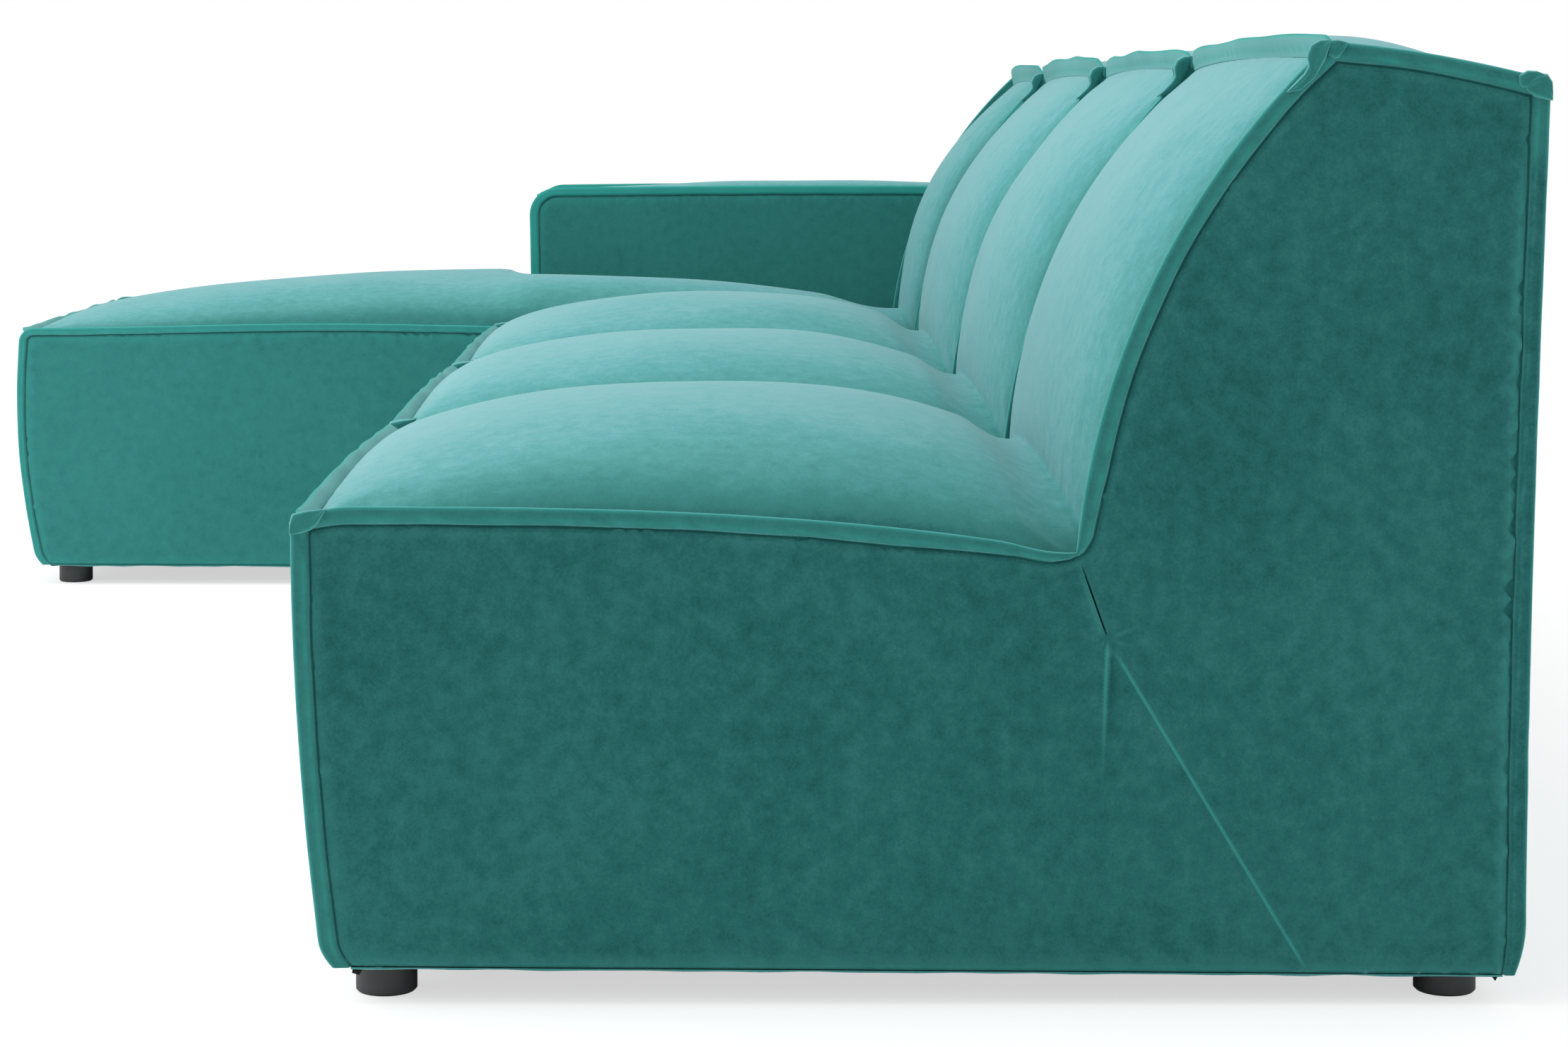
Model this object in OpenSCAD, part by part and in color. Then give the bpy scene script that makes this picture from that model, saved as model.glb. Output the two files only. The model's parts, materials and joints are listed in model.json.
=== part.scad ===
// Modular lounge sofa: three armless units and a chaise unit with one low arm.
// Millimetres, +Z up, origin on the floor at the centre of the whole footprint.
// The seats face -Y. The row runs along X, with the open end at +X and the arm at -X.

/* [Units] */
// Width of one unit, side to side
unit_w = 800; // [720:5:900]
// Gap between the covers of neighbouring units
unit_gap = 2; // [1:0.5:4]
// Seat depth from the front edge to the foot of the back
seat_l = 658; // [600:2:720]
// Height of the seat's front edge
seat_h = 410; // [390:1:450]
// How far the seat's side edge falls towards the back
seat_fall = 38; // [20:1:50]
// Radius of the curved front of the back
back_r = 667; // [600:1:740]
// Lean of the back at its foot
back_lean_foot = 5; // [2:0.5:9]
// Lean of the back at its top
back_lean_top = 47; // [42:0.5:50]
// Depth of the back's top panel
top_l = 189; // [170:1:220]
// Fall of the back's top panel towards the rear
top_fall = 36; // [20:1:50]
// How far the front is drawn in at the hem
front_taper = 35; // [20:1:45]
// How far the rear is drawn in at the hem
rear_taper = 21; // [10:1:30]

/* [Chaise] */
// How far the chaise reaches past the other fronts
chaise_l = 740; // [600:5:850]
// Width of the arm
arm_w = 240; // [200:2:280]
// Height of the arm's edges
arm_h = 589; // [560:1:620]
// Set-back of the arm's front from the other fronts
arm_back = 35; // [20:1:60]

/* [Cover] */
// Thickness of the backed velvet cover
cover_t = 3; // [2:0.5:4]
// Width of the sewn flange along every seam
flange_w = 15; // [12:0.5:18]
// Thickness of the flange, four layers of velvet
flange_t = 5; // [4:0.5:6]
// Step from the flange's face back to the side panel
panel_step = 2.5; // [1.5:0.5:3]
// Height of the cover's hem above the floor
hem_h = 32; // [30:0.5:33]

/* [Padding] */
// Rise of the seat's crown above its seams
seat_crown = 86; // [60:1:95]
// Swell of the back's front panel
back_crown = 38; // [25:1:45]
// Rise of the back's top panel above its seams
top_crown = 45; // [30:1:50]
// Rise of the arm's top panel above its seams
arm_crown = 40; // [25:1:45]
// Swell of the front and rear panels
panel_crown = 12; // [6:1:14]
// Thickness of the side padding
side_pad = 8; // [6:0.5:12]
// Least thickness of the front and rear padding, at the hem
end_pad = 3; // [2:0.5:6]
// Thickness of the padding on the arm's frame
arm_pad = 30; // [24:1:36]

/* [Frame] */
// Height of the frame's underside above the floor
base_z = 35; // [34:0.5:40]
// Height of the base boards
board_h = 195; // [170:1:205]
// Thickness of the base boards
board_t = 18; // [15:1:20]
// Side of the square back posts
post_w = 45; // [38:1:50]
// Height of the top of the back frame above the floor
back_frame_h = 715; // [690:1:730]
// Height of a back rail
rail_h = 70; // [50:1:80]
// Thickness of the hardboard behind the back posts
hardboard_t = 4; // [3:0.5:5]
// Side of the blocks that carry the feet and brackets
block_w = 60; // [56:1:70]
// Height of these blocks
block_h = 40; // [35:1:45]
// Width of an elastic web
web_w = 60; // [50:1:70]
// Thickness of an elastic web
web_t = 1.8; // [1.5:0.1:2.4]
// Least spacing of the webs
web_pitch = 130; // [115:1:160]

/* [Feet] */
// Diameter of a foot
foot_d = 52; // [46:1:56]
// Chamfer of a foot
foot_chamfer = 2; // [1:0.5:4]
// Distance of a foot's centre from the front and rear edges
foot_in = 80; // [78:1:84]
// Distance of a foot's centre from the unit's side
foot_side = 55; // [50:1:58]
// Diameter of the bolt through a foot
bolt_d = 8; // [6:0.5:8]
// Length of the bolt's shank
bolt_l = 56; // [52:1:58]

/* [Connectors] */
// Diameter of the locating pin
pin_d = 10; // [8:0.5:12]
// Height of the pin above its bracket
pin_l = 24; // [18:1:28]
// Thickness of the bracket and eye plates
plate_t = 3; // [2.5:0.25:3]
// Width of the bracket and eye plates
plate_w = 40; // [34:1:50]
// Distance of the connectors from the front and rear edges
plate_in = 210; // [190:5:260]
// Diameter of the plate screws
screw_d = 4.5; // [4:0.5:5]
// Length of the plate screws
screw_l = 28; // [20:1:32]

/* [Clearances] */
// Gap between a soft solid and what it touches
soft_gap = 0.3; // [0.2:0.1:0.5]
// Radial clearance of the pin in its eye
pin_gap = 0.5; // [0.4:0.1:1]
// Radial clearance of bolts and screws in their holes
bolt_gap = 0.3; // [0.2:0.1:0.5]
// Thickness of the dust cloth
cloth_t = 1.2; // [0.8:0.1:1.4]

/* [Hidden] */
$fn = 48;

// Overall outline, worked out from the panels
back_fall_y = back_r * (cos(back_lean_foot) - cos(back_lean_top));
back_rise_z = back_r * (sin(back_lean_top) - sin(back_lean_foot));
unit_l = seat_l + back_fall_y + top_l;
crease = [seat_l, seat_h - seat_fall];
top_front = crease + [back_fall_y, back_rise_z];
top_rear = top_front + [top_l, -top_fall];
row_y = (chaise_l - unit_l) / 2;          // local y = 0 of the units, in the row
side = unit_gap / 2;                      // cover's side plane inside its slot
skin = side + panel_step + cover_t;       // inner face of the side panel
base_top = base_z + board_h;
seat_bed = base_top + 2 * web_t + 2 * soft_gap;
frame_x = skin + side_pad;
frame_front = flange_w + front_taper + cover_t + end_pad;
frame_rear = unit_l - flange_w - rear_taper - cover_t - end_pad;
post_front = frame_rear - board_t - post_w;
back_skin = frame_rear - board_t + hardboard_t;
pin_x = foot_side;                        // the pin's place inside the neighbour
bracket_drop = plate_t + 2;               // the bracket's tongue passes under the hems

// Share of the crown along the seat: a quick rise, a peak two thirds back, a fall to the crease
crown_peak = 0.65;
crease_share = 0.5;
front_power = 0.6;
function seat_rise(u) = u < crown_peak
    ? pow(sin(90 * max(0, u) / crown_peak), front_power)
    : 1 - (1 - crease_share) * pow((u - crown_peak) / (1 - crown_peak), 2.5);

// Share of the swell up the back, from its foot to its top edge
foot_share = 0.4;
top_share = 0.3;
function back_rise(v) =
    foot_share + (top_share - foot_share) * v + (1 - foot_share) * sin(180 * v);

// Share of the crown across a panel, 0 at both seams and 1 halfway
side_power = 0.6;
function arch(t) = pow(max(0, sin(180 * t)), side_power);
function mix(a, b, t) = a + (b - a) * t;
function clamp01(t) = min(1, max(0, t));
function dir(a) = [cos(a), sin(a)];

// Corner of two panels with outward normals n1 and n2, moved inwards by d
function inset_corner(p, n1, n2, d) = p - d * (n1 + n2) / (1 + n1 * n2);

// Cross-section of a flange that stands at angle a on the corner p
function fin(p, a, len) = let(across = [sin(a), -cos(a)] * flange_t / 2, up = len * dir(a))
    [p - across, p - across + up, p + across + up, p + across];
stub = 1.2;                               // height of a flange where the side flange takes over
function fin_l(inset) = inset == flange_w ? flange_w : stub;

// A ring of a cover or pad is [x, inset, crown, front inset, front crown, short].
// The front values hold ahead of the chaise's arm, the others behind its front edge,
// and a short ring ends at the arm. A seventh value names the rings of the step beside
// the arm: 1 at its front corner, 2 between a short and a long ring, 3 low inside a pad.
blend_l = 60;
function past_arm(y) = clamp01((y - arm_back) / blend_l + 0.5);
function ring_inset(r, y) = mix(r[3], r[1], past_arm(y));
function ring_crown(r, y) = mix(r[4], r[2], past_arm(y));
function tighter(r, s) = [r[0], r[1] + s, r[2], r[3] + s, r[4], r[5], r[6]];

// Stations along the panels, as shares of each panel
front_at = [0, 0.25, 0.7];
back_at = [0.18, 0.36, 0.54, 0.72, 0.88];
top_at = [0.15, 0.5, 0.85];
rear_at = [0.4, 1];
arm_top_at = [0.08, 0.5, 0.92];
front_bow = 1.5;
hem_at = 0.06;                            // the hem keeps a little of the panels' swell
edge_bow = 4;                             // rise of the top seams between their corners
ahead_at = [0.03, 0.1, 0.22, 0.38];
beside_at = [0.75, 0.9, 0.97];
seat_at = [0.05, 0.16, 0.34, 0.6, 0.82, 0.94];
function seat_stations(yf) = let(l = seat_l - yf) yf == 0
    ? seat_at * l
    : concat([for (u = ahead_at) yf + u * l],
        [arm_back - blend_l / 2, arm_back + blend_l / 2], [for (u = beside_at) yf + u * l]);
front_n = len(front_at);
back_n = len(back_at);
top_n = len(top_at);
short_n = len(ahead_at) + 1;
function seat_n(yf) = len(seat_stations(yf));

// Side view of a unit: an open path from the front hem over the seat and back to the rear hem
function seat_z(y, yf) = seat_h - seat_fall * pow(clamp01((y - yf) / (seat_l - yf)), 2);
function front_path(r, yf, zt, t) =
    [yf + r[3] + front_taper * pow(1 - t, front_bow)
     - panel_crown * r[4] * sin(180 * mix(hem_at, 1, t)),
     mix(hem_h, zt, t)];
function rear_path(r, zt, t) =
    [unit_l - r[1] - rear_taper * sin(90 * t)
     + panel_crown * r[2] * sin(180 * mix(0, 1 - hem_at, t)),
     mix(zt, hem_h, t)];
function long_path(r, yf, fins) = let(
    c1 = [yf + r[3], seat_h - r[3]],
    lift = crease_share * seat_crown * r[2],
    v0 = lift / (back_r * PI / 180 * (back_lean_top - back_lean_foot)),
    foot = [seat_l + r[1] - back_crown * r[2] * back_rise(v0) + back_fall_y * v0 * v0,
            seat_h - seat_fall - r[1] + lift],
    n_back = [-cos(back_lean_top), sin(back_lean_top)],
    n_top = [top_fall, top_l] / norm([top_fall, top_l]),
    c2 = inset_corner(top_front, n_back, n_top, r[1]) + top_share * back_crown * r[2] * n_back,
    c3 = inset_corner(top_rear, n_top, [1, 0], r[1])
) concat(
    [for (t = front_at) front_path(r, yf, c1.y, t)],
    fins ? fin(c1, 135, fin_l(r[3])) : [c1],
    [for (y = seat_stations(yf)) let(u = (y - yf) / (seat_l - yf))
        [mix(yf, foot.x - r[1], u) + flange_w, seat_z(y, yf) - ring_inset(r, y)
         + seat_crown * ring_crown(r, y) * seat_rise(u)]],
    [foot],
    [for (q = back_at) let(v = mix(v0, 1, q), a = mix(back_lean_foot, back_lean_top, v))
        crease + back_r * [cos(back_lean_foot) - cos(a), sin(a) - sin(back_lean_foot)]
        + (back_crown * r[2] * back_rise(v) - r[1]) * [-cos(a), sin(a)]],
    fins ? fin(c2, 100, fin_l(r[1])) : [c2],
    [for (w = top_at) mix(c2, c3, w)
        + [0, top_crown * r[2] * arch(w) + edge_bow * sin(180 * w)]],
    fins ? fin(c3, 45, fin_l(r[1])) : [c3],
    [for (t = rear_at) rear_path(r, c3.y, t)]
);

// A short ring follows the same path up to the arm and then drops to the hem
short_inset = 0.2;
slack = 0.5;                              // more room where the cover's faces twist
mid_share = 0.2;
function kind(r) = is_undef(r[6]) ? 0 : r[6];
function corner_z(p, m, y) = mix(p[m - 1].y, p[m].y, (y - p[m - 1].x) / (p[m].x - p[m - 1].x));
function short_path(r, yf, fins, wall) = let(
    full = long_path(r, yf, fins),
    p = kind(r) > 0 ? full : long_path([r[0], r[3], r[4], r[3], r[4], r[5]], yf, fins),
    m = front_n + (fins ? 4 : 1) + short_n, n = len(p), a = m - short_n + seat_n(yf),
    y1 = arm_back - unit_gap - wall - short_inset * r[3] - edge_bow * r[4],
    z1 = kind(r) > 0 ? corner_z(full, m, y1) : p[m - 1].y,
    mid = [seat_l + 140, seat_h - 160])
    [for (j = [0:n - 1]) let(t = (j - m) / (n - 1 - m), z = mix(z1, hem_h, t)) j < m ? p[j]
        : kind(r) == 3 ? [y1 - 10 * slack - edge_bow * sin(180 * t), mix(seat_bed, z, 0.1)]
        : kind(r) != 2 ? [y1 - edge_bow * sin(180 * t), z]
        : j <= a ? [mix(y1, full[j].x, 0.5), min(z, full[j].y) - 2 * flange_w]
        : j < n - 1 ? mix(mid, full[j], mid_share) : [mix(mid.x, full[j].x, mid_share), hem_h]];
function unit_path(r, yf, fins, wall) = let(t = tighter(r, wall))
    r[5] ? short_path(t, yf, fins, wall) : long_path(fins ? r : t, yf, fins);

// Side view of the arm: a box with a crowned top
arm_rear = unit_l;
function arm_path(r, fins, wall) = let(t = tighter(r, wall),
    c1 = [arm_back + t[1], arm_h - t[1]], c2 = [arm_rear - t[1], arm_h - t[1]])
    concat(
        [for (q = front_at)
            [c1.x + (edge_bow - panel_crown * r[2]) * sin(180 * mix(hem_at, 1, q)),
             mix(hem_h, c1.y, q)]],
        fins ? fin(c1, 135, fin_l(r[1])) : [c1],
        [for (w = arm_top_at) mix(c1, c2, w)
            + [0, arm_crown * r[2] * arch(w) + edge_bow * sin(180 * w)]],
        fins ? fin(c2, 45, fin_l(r[1])) : [c2],
        [for (q = rear_at) rear_path(t, c2.y, q)]);

// Rings across a panel set from x0 to x1, with a side flange at each end
cross_at = [0.06, 0.22, 0.5, 0.78, 0.94];
function crown_rings(x0, x1) = [for (t = cross_at)
    [mix(x0, x1, t), flange_w, arch(t), flange_w, arch(t), false]];
function flange_rings(x, way) = [for (q = [[panel_step, flange_w + 0.5], [0.4, flange_w - 1],
    [0, 0.8], [flange_t, 0], [flange_t + 0.5, flange_w]])
    [x + way * q[0], q[1], 0, q[1], 0, false]];
flange_ring_n = 4;                        // steps from a flange's first ring to its last
function rev(v) = [for (i = [len(v) - 1:-1:0]) v[i]];
function side_to_side(x0, x1) = concat(flange_rings(x0, 1),
    crown_rings(x0 + flange_t, x1 - flange_t), rev(flange_rings(x1, -1)));
function bare_ring(x) = [x, flange_w, 0, flange_w, 0, false];
function lining_rings(x0, x1, gap) = concat([bare_ring(x0 + skin + gap)],
    crown_rings(x0 + side + flange_t, x1 - side - flange_t), [bare_ring(x1 - skin - gap)]);

// Rings across the chaise, whose crown is lower and spans the arm's share ahead of the arm
chaise_share = 0.8;
function low(r) = [r[0], r[1], r[2] * chaise_share, r[3], r[4], r[5]];
function full_arch(x) = chaise_share * arch(clamp01((x - side) / (unit_w - 2 * side)));
function wide(r) = [r[0], r[1], r[2], flange_w, full_arch(r[0]), r[5]];
function cut_short(r) = [r[0], r[1], r[2], r[3], r[4], true];
short_at = [0.25, 0.8];
wall_step = 0.4;
function step_ring(x, kind) =
    [x, flange_w + (kind == 2 ? 0.001 : 0), 0, flange_w, full_arch(x), true, kind];
function chaise_inside(steps) = concat(
    [for (t = short_at) cut_short(wide(bare_ring(t * arm_w)))],
    [for (q = steps) step_ring(q[0], q[1])]);
function chaise_rings() = let(x0 = arm_w + side, x1 = unit_w - side) concat(
    [for (r = flange_rings(side, 1)) cut_short(r)],
    chaise_inside([[x0 - 2 * wall_step, 1], [x0 - wall_step, 2]]),
    [wide(bare_ring(x0))],
    [for (r = crown_rings(x0 + flange_t, x1 - flange_t)) wide(low(r))],
    rev(flange_rings(x1, -1)));
function chaise_lining(gap) = let(x0 = arm_w + skin, x1 = x0 - 2 * wall_step) concat(
    [cut_short(bare_ring(skin + gap))],
    chaise_inside(gap == 0 ? [[x1, 1], [x0 - wall_step, 2]]
        : [[x1 - 2 * gap, 1], [x1 - 0.1, 3], [x0, 3], [x0 + gap, 2]]),
    [wide(bare_ring(x0 + 2 * gap))],
    [for (r = crown_rings(arm_w + side + flange_t, unit_w - side - flange_t)) wide(low(r))],
    [bare_ring(unit_w - skin - gap)]);

// Faces of a skin of n rings with m points each, from point number o
function skin_faces(n, m, o, closed, flip) = let(last = closed ? m - 1 : m - 2)
    [for (i = [0:n - 2]) for (j = [0:last]) let(k = (j + 1) % m,
        a = o + i * m + j, b = o + i * m + k, c = a + m, d = b + m)
        each flip ? [[a, c, b], [b, c, d]] : [[a, b, c], [b, d, c]]];
function flat(v) = [for (a = v) each a];

// Triangles of an end cap, cut off corner by corner; an ear is a corner with no point inside it
function turn(a, b, c) = cross(b - a, c - b);
function holds(a, b, c, q) = turn(a, b, q) >= 0 && turn(b, c, q) >= 0 && turn(c, a, q) >= 0;
function before(v, i) = v[(i + len(v) - 1) % len(v)];
function after(v, i) = v[(i + 1) % len(v)];
function is_ear(p, v, i) = let(a = before(v, i), b = v[i], c = after(v, i))
    turn(p[a], p[b], p[c]) > 0 && len([for (k = v) if (k != a && k != b && k != c
        && holds(p[a], p[b], p[c], p[k])) k]) == 0;
function ears(p, v) = len(v) == 3 ? [v] : let(
    all = [for (i = [0:len(v) - 1]) if (is_ear(p, v, i)) i],
    spans = [for (i = all) norm(p[before(v, i)] - p[after(v, i)])],
    i = all[search(min(spans), spans)[0]])
    concat([[before(v, i), v[i], after(v, i)]],
        ears(p, [for (k = [0:len(v) - 1]) if (k != i) v[k]]));
function area2(p) = len(p) == 0 ? 0
    : [for (i = 0, a = 0; i <= len(p); a = a + (i < len(p) ? cross(p[i], after(p, i)) : 0),
        i = i + 1) a][len(p)];
function cap(p, o, flip) = let(left = area2(p) > 0, all = [for (j = [0:len(p) - 1]) j])
    [for (f = ears(p, left ? all : rev(all))) [for (k = left == flip ? rev(f) : f) o + k]];

// A closed pad through rings of closed outlines
module pad(xs, outlines) {
    n = len(xs);
    m = len(outlines[0]);
    points = flat([for (i = [0:n - 1]) [for (p = outlines[i]) [xs[i], p.x, p.y]]]);
    polyhedron(points, concat(skin_faces(n, m, 0, true, false),
        cap(outlines[0], 0, true), cap(outlines[n - 1], (n - 1) * m, false)), convexity = 6);
}

// Hem strip between the outer and inner rings at their ends; the rings of one flange share
// the lining's end ring
function hem_strip(n, ni, outer_at, inner_at, flip) = flat([for (i = [0:n - 2]) let(
    ia = max(0, min(ni - 1, i - flange_ring_n)), ib = max(0, min(ni - 1, i + 1 - flange_ring_n)),
    a = outer_at(i), b = outer_at(i + 1), c = inner_at(ia), d = inner_at(ib))
    [for (f = ia == ib ? [[a, b, c]] : [[a, b, c], [b, d, c]]) flip ? rev(f) : f]]);

// A thin cover, open at the hem, from its outer and inner rings of open paths
module sewn_cover(xo, outer, xi, inner) {
    n = len(xo);
    m = len(outer[0]);
    ni = len(xi);
    mi = len(inner[0]);
    o = n * m;
    points = concat(
        flat([for (i = [0:n - 1]) [for (p = outer[i]) [xo[i], p.x, p.y]]]),
        flat([for (i = [0:ni - 1]) [for (p = inner[i]) [xi[i], p.x, p.y]]]));
    front_rim = hem_strip(n, ni, function(i) i * m, function(i) o + i * mi, false);
    rear_rim = hem_strip(n, ni, function(i) i * m + m - 1, function(i) o + i * mi + mi - 1, true);
    side_rim = [m - 1, 0, o, o + mi - 1];
    far_rim = [(n - 1) * m, n * m - 1, o + ni * mi - 1, o + (ni - 1) * mi];
    polyhedron(points, concat(
        skin_faces(n, m, 0, false, false),
        cap(outer[0], 0, true), cap(outer[n - 1], (n - 1) * m, false),
        skin_faces(ni, mi, o, false, true),
        cap(inner[0], o, false), cap(inner[ni - 1], o + (ni - 1) * mi, true),
        front_rim, rear_rim, [side_rim, far_rim]), convexity = 8);
}

m1_slot = 1;
m2_slot = 0;
m3_slot = -1;
chaise_slot = -2;

velvet = "#2A7670";
foam_yellow = "#E9DDB4";
wadding = "#F2F2EE";
pine = "#D9B98A";
black_web = "#2B2B2B";
feet_black = "#3C3C3C";
zinc = "#B8BCC0";
cloth_black = "#1B1B1B";

// Covers
inner = cover_t + soft_gap;
module cover_of(rings, lining, yf) sewn_cover(
    [for (r = rings) r[0]], [for (r = rings) unit_path(r, yf, true, 0)],
    [for (r = lining) r[0]], [for (r = lining) unit_path(r, yf, false, cover_t)]);
module unit_cover() color(velvet)
    cover_of(side_to_side(side, unit_w - side), lining_rings(0, unit_w, 0), 0);
module chaise_cover() color(velvet) cover_of(chaise_rings(), chaise_lining(0), -chaise_l);
module arm_cover() color(velvet) {
    rings = side_to_side(side, arm_w - side);
    lining = lining_rings(0, arm_w, 0);
    sewn_cover([for (r = rings) r[0]], [for (r = rings) arm_path(r, true, 0)],
        [for (r = lining) r[0]], [for (r = lining) arm_path(r, false, cover_t)]);
}

// Part of a path, and its point at height z between the points i and i + 1
function part_of(p, a, b) = [for (j = [a:b]) p[j]];
function level(p, i, z) = mix(p[i], p[i + 1], (z - p[i].y) / (p[i + 1].y - p[i].y));

// Outline of the seat foam: bed, front above the boards, crown and the face under the back.
// A pad's corners lie on the same chords as the cover's, so the gap between them stays even.
function short_at_bed(p, a) = let(b = [for (i = [a:len(p) - 2]) if (p[i + 1].y < seat_bed) i][0])
    level(p, b, seat_bed);
function seat_outline(r, yf) = let(p = unit_path(r, yf, false, inner),
    a = front_n + 1 + seat_n(yf), foot = r[5] && kind(r) != 2 ? short_at_bed(p, a) : p[a])
    concat([[foot.x - soft_gap, seat_bed], level(p, 1, seat_bed)], part_of(p, 2, front_n),
        [for (q = part_of(p, front_n + 1, a - 1)) yf < 0 ? q - [0, slack] : q],
        [p[a] - [soft_gap, soft_gap]]);

// Outline of the back foam: foot, curved front, top and the hood over the back frame
function back_outline(r) = let(p = unit_path(r, 0, false, inner),
    a = front_n + 1 + seat_n(0), top = a + back_n + 1 + top_n + 1)
    concat([[p[a].x, seat_bed]], part_of(p, a, top), [level(p, top, back_frame_h) - [slack, 0],
        [post_front - soft_gap, back_frame_h + soft_gap],
        [post_front - soft_gap, seat_bed]]);

// Sheets in front of and behind the boards, and the hood over the arm's frame
function front_outline(r, yf) = let(p = unit_path(r, yf, false, inner),
    z1 = seat_bed - soft_gap, y1 = yf + frame_front - soft_gap)
    concat([[y1, base_z], level(p, 0, base_z), p[1], level(p, 1, z1), [y1, z1]]);
function rear_outline(r) = let(p = unit_path(r, 0, false, inner + slack), n = len(p),
    zt = back_frame_h - soft_gap)
    [level(p, n - 3, zt), p[n - 2], level(p, n - 2, base_z),
        [frame_rear + soft_gap, base_z], [frame_rear + soft_gap, seat_bed],
        [back_skin + soft_gap, seat_bed], [back_skin + soft_gap, zt]];
arm_frame_y = arm_back + flange_w + cover_t + arm_pad;
arm_frame_h = arm_h - flange_w - cover_t - arm_pad;
function arm_outline(r) = let(p = arm_path(r, false, inner), last = front_n + len(arm_top_at) + 1,
    y0 = arm_frame_y - soft_gap, z1 = arm_frame_h + soft_gap)
    concat([level(p, 0, base_z)], part_of(p, 1, last), [level(p, last, z1) - [slack, 0]],
        [[y0, z1], [y0, base_z]]);
function arm_rear_outline(r) = let(p = arm_path(r, false, inner + slack), n = len(p),
    y1 = frame_rear + soft_gap)
    [level(p, n - 3, arm_frame_h), p[n - 2], level(p, n - 2, base_z),
        [y1, base_z], [y1, arm_frame_h]];

module pad_of(rings, outlines) pad([for (r = rings) r[0]], outlines);
module seat_foam(rings, yf) color(foam_yellow)
    pad_of(rings, [for (r = rings) seat_outline(r, yf)]);
module back_foam(rings) color(foam_yellow) pad_of(rings, [for (r = rings) back_outline(r)]);
module front_sheet(rings, yf) pad_of(rings, [for (r = rings) front_outline(r, yf)]);
module rear_sheet(rings) pad_of(rings, [for (r = rings) rear_outline(r)]);

module block(x, y, z) translate([x[0], y[0], z[0]]) cube([x[1] - x[0], y[1] - y[0], z[1] - z[0]]);

// Base: boards, joist and the blocks that carry feet and brackets
function foot_places() = [for (x = [foot_side, unit_w - foot_side])
    for (y = [foot_in, unit_l - foot_in]) [x, y]];
plate_ys = [plate_in + block_w, unit_l - plate_in - block_w];
screw_in = 10;                            // from a block's edge to the screws' axes
nut_d = 22;
barrel_d = 11;
nut_t = 1.5;
nut_sink = nut_t + bolt_gap;
barrel_l = 9;
head_d = 14;
head_h = 5;
head_z = 8;                               // underside of the bolt head, inside the foot
hole_d = bolt_d + 2 * bolt_gap;

module foot_bore(p) translate([p.x, p.y, base_z]) {
    translate([0, 0, -1]) cylinder(d = hole_d, h = block_h + 2);
    translate([0, 0, block_h - barrel_l - nut_sink - bolt_gap])
        cylinder(d = barrel_d + 2 * bolt_gap, h = barrel_l + 2 * nut_sink);
    translate([0, 0, block_h - nut_sink]) cylinder(d = nut_d + 2 * bolt_gap, h = 2 * nut_sink);
}
function screw_ys() = [-0.3 * plate_w, 0.3 * plate_w];
module screw_holes(x) for (y = plate_ys) for (dy = screw_ys())
    translate([x, y + dy, base_z - 1]) cylinder(d = screw_d + 2 * bolt_gap, h = screw_l + 2);

// Boards round a rectangle from x0 to x1 and y0 to y1
module board_ring(x0, x1, y0, y1) {
    block([x0, x1], [y0, y0 + board_t], [base_z, base_top]);
    block([x0, x1], [y1 - board_t, y1], [base_z, base_top]);
    for (x = [x0, x1 - board_t]) difference() {
        block([x, x + board_t], [y0 + board_t, y1 - board_t], [base_z, base_top]);
        for (q = [0.3, 0.7]) translate([x - 1, mix(y0, y1, q), base_z + board_h / 2])
            rotate([0, 90, 0]) cylinder(d = board_h / 3, h = board_t + 2);
    }
}
module corner_block(x, y) block([x, x + block_w], [y, y + block_w], [base_z, base_z + block_h]);

left_x = frame_x + board_t;
right_x = unit_w - frame_x - board_t - block_w;
module connector_block(left, right) for (y = plate_ys) {
    if (left) difference() {
        corner_block(left_x, y - block_w / 2);
        translate([pin_x, y, base_z - 1]) cylinder(d = pin_d + 6 * pin_gap, h = pin_l + 2);
    }
    if (right) corner_block(right_x, y - block_w / 2);
}
module joist(x, y0, y1) block([x - board_t / 2, x + board_t / 2], [y0, y1],
    [base_z, base_top - 2 * board_t]);

module unit_base_frame(left, right) color(pine) difference() {
    union() {
        board_ring(frame_x, unit_w - frame_x, frame_front, frame_rear);
        joist(unit_w / 2, frame_front + board_t, frame_rear - board_t);
        for (x = [left_x, right_x])
            for (y = [frame_front + board_t, frame_rear - board_t - block_w]) corner_block(x, y);
        connector_block(left, right);
    }
    for (p = foot_places()) foot_bore(p);
    if (left) screw_holes(left_x + block_w - screw_in);
    if (right) screw_holes(right_x + screw_in);
}

// Back frame: two posts, three rails, a middle slat and the hardboard behind them
module back_frame_between(x0, x1) color(pine) {
    foot_z = base_z + block_h;
    for (x = [x0, x1 - post_w])
        block([x, x + post_w], [post_front, post_front + post_w], [foot_z, back_frame_h]);
    for (z = [seat_bed, (base_top + back_frame_h - rail_h) / 2, back_frame_h - rail_h])
        block([x0 + post_w, x1 - post_w], [post_front + post_w - board_t, post_front + post_w],
            [z, z + rail_h]);
    slat_x = (x0 + x1) / 2;
    block([slat_x - post_w / 2, slat_x + post_w / 2],
        [post_front + post_w - 2 * board_t, post_front + post_w - board_t],
        [seat_bed, back_frame_h]);
    block([x0, x1], [post_front + post_w, post_front + post_w + hardboard_t],
        [seat_bed, back_frame_h]);
}

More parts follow.
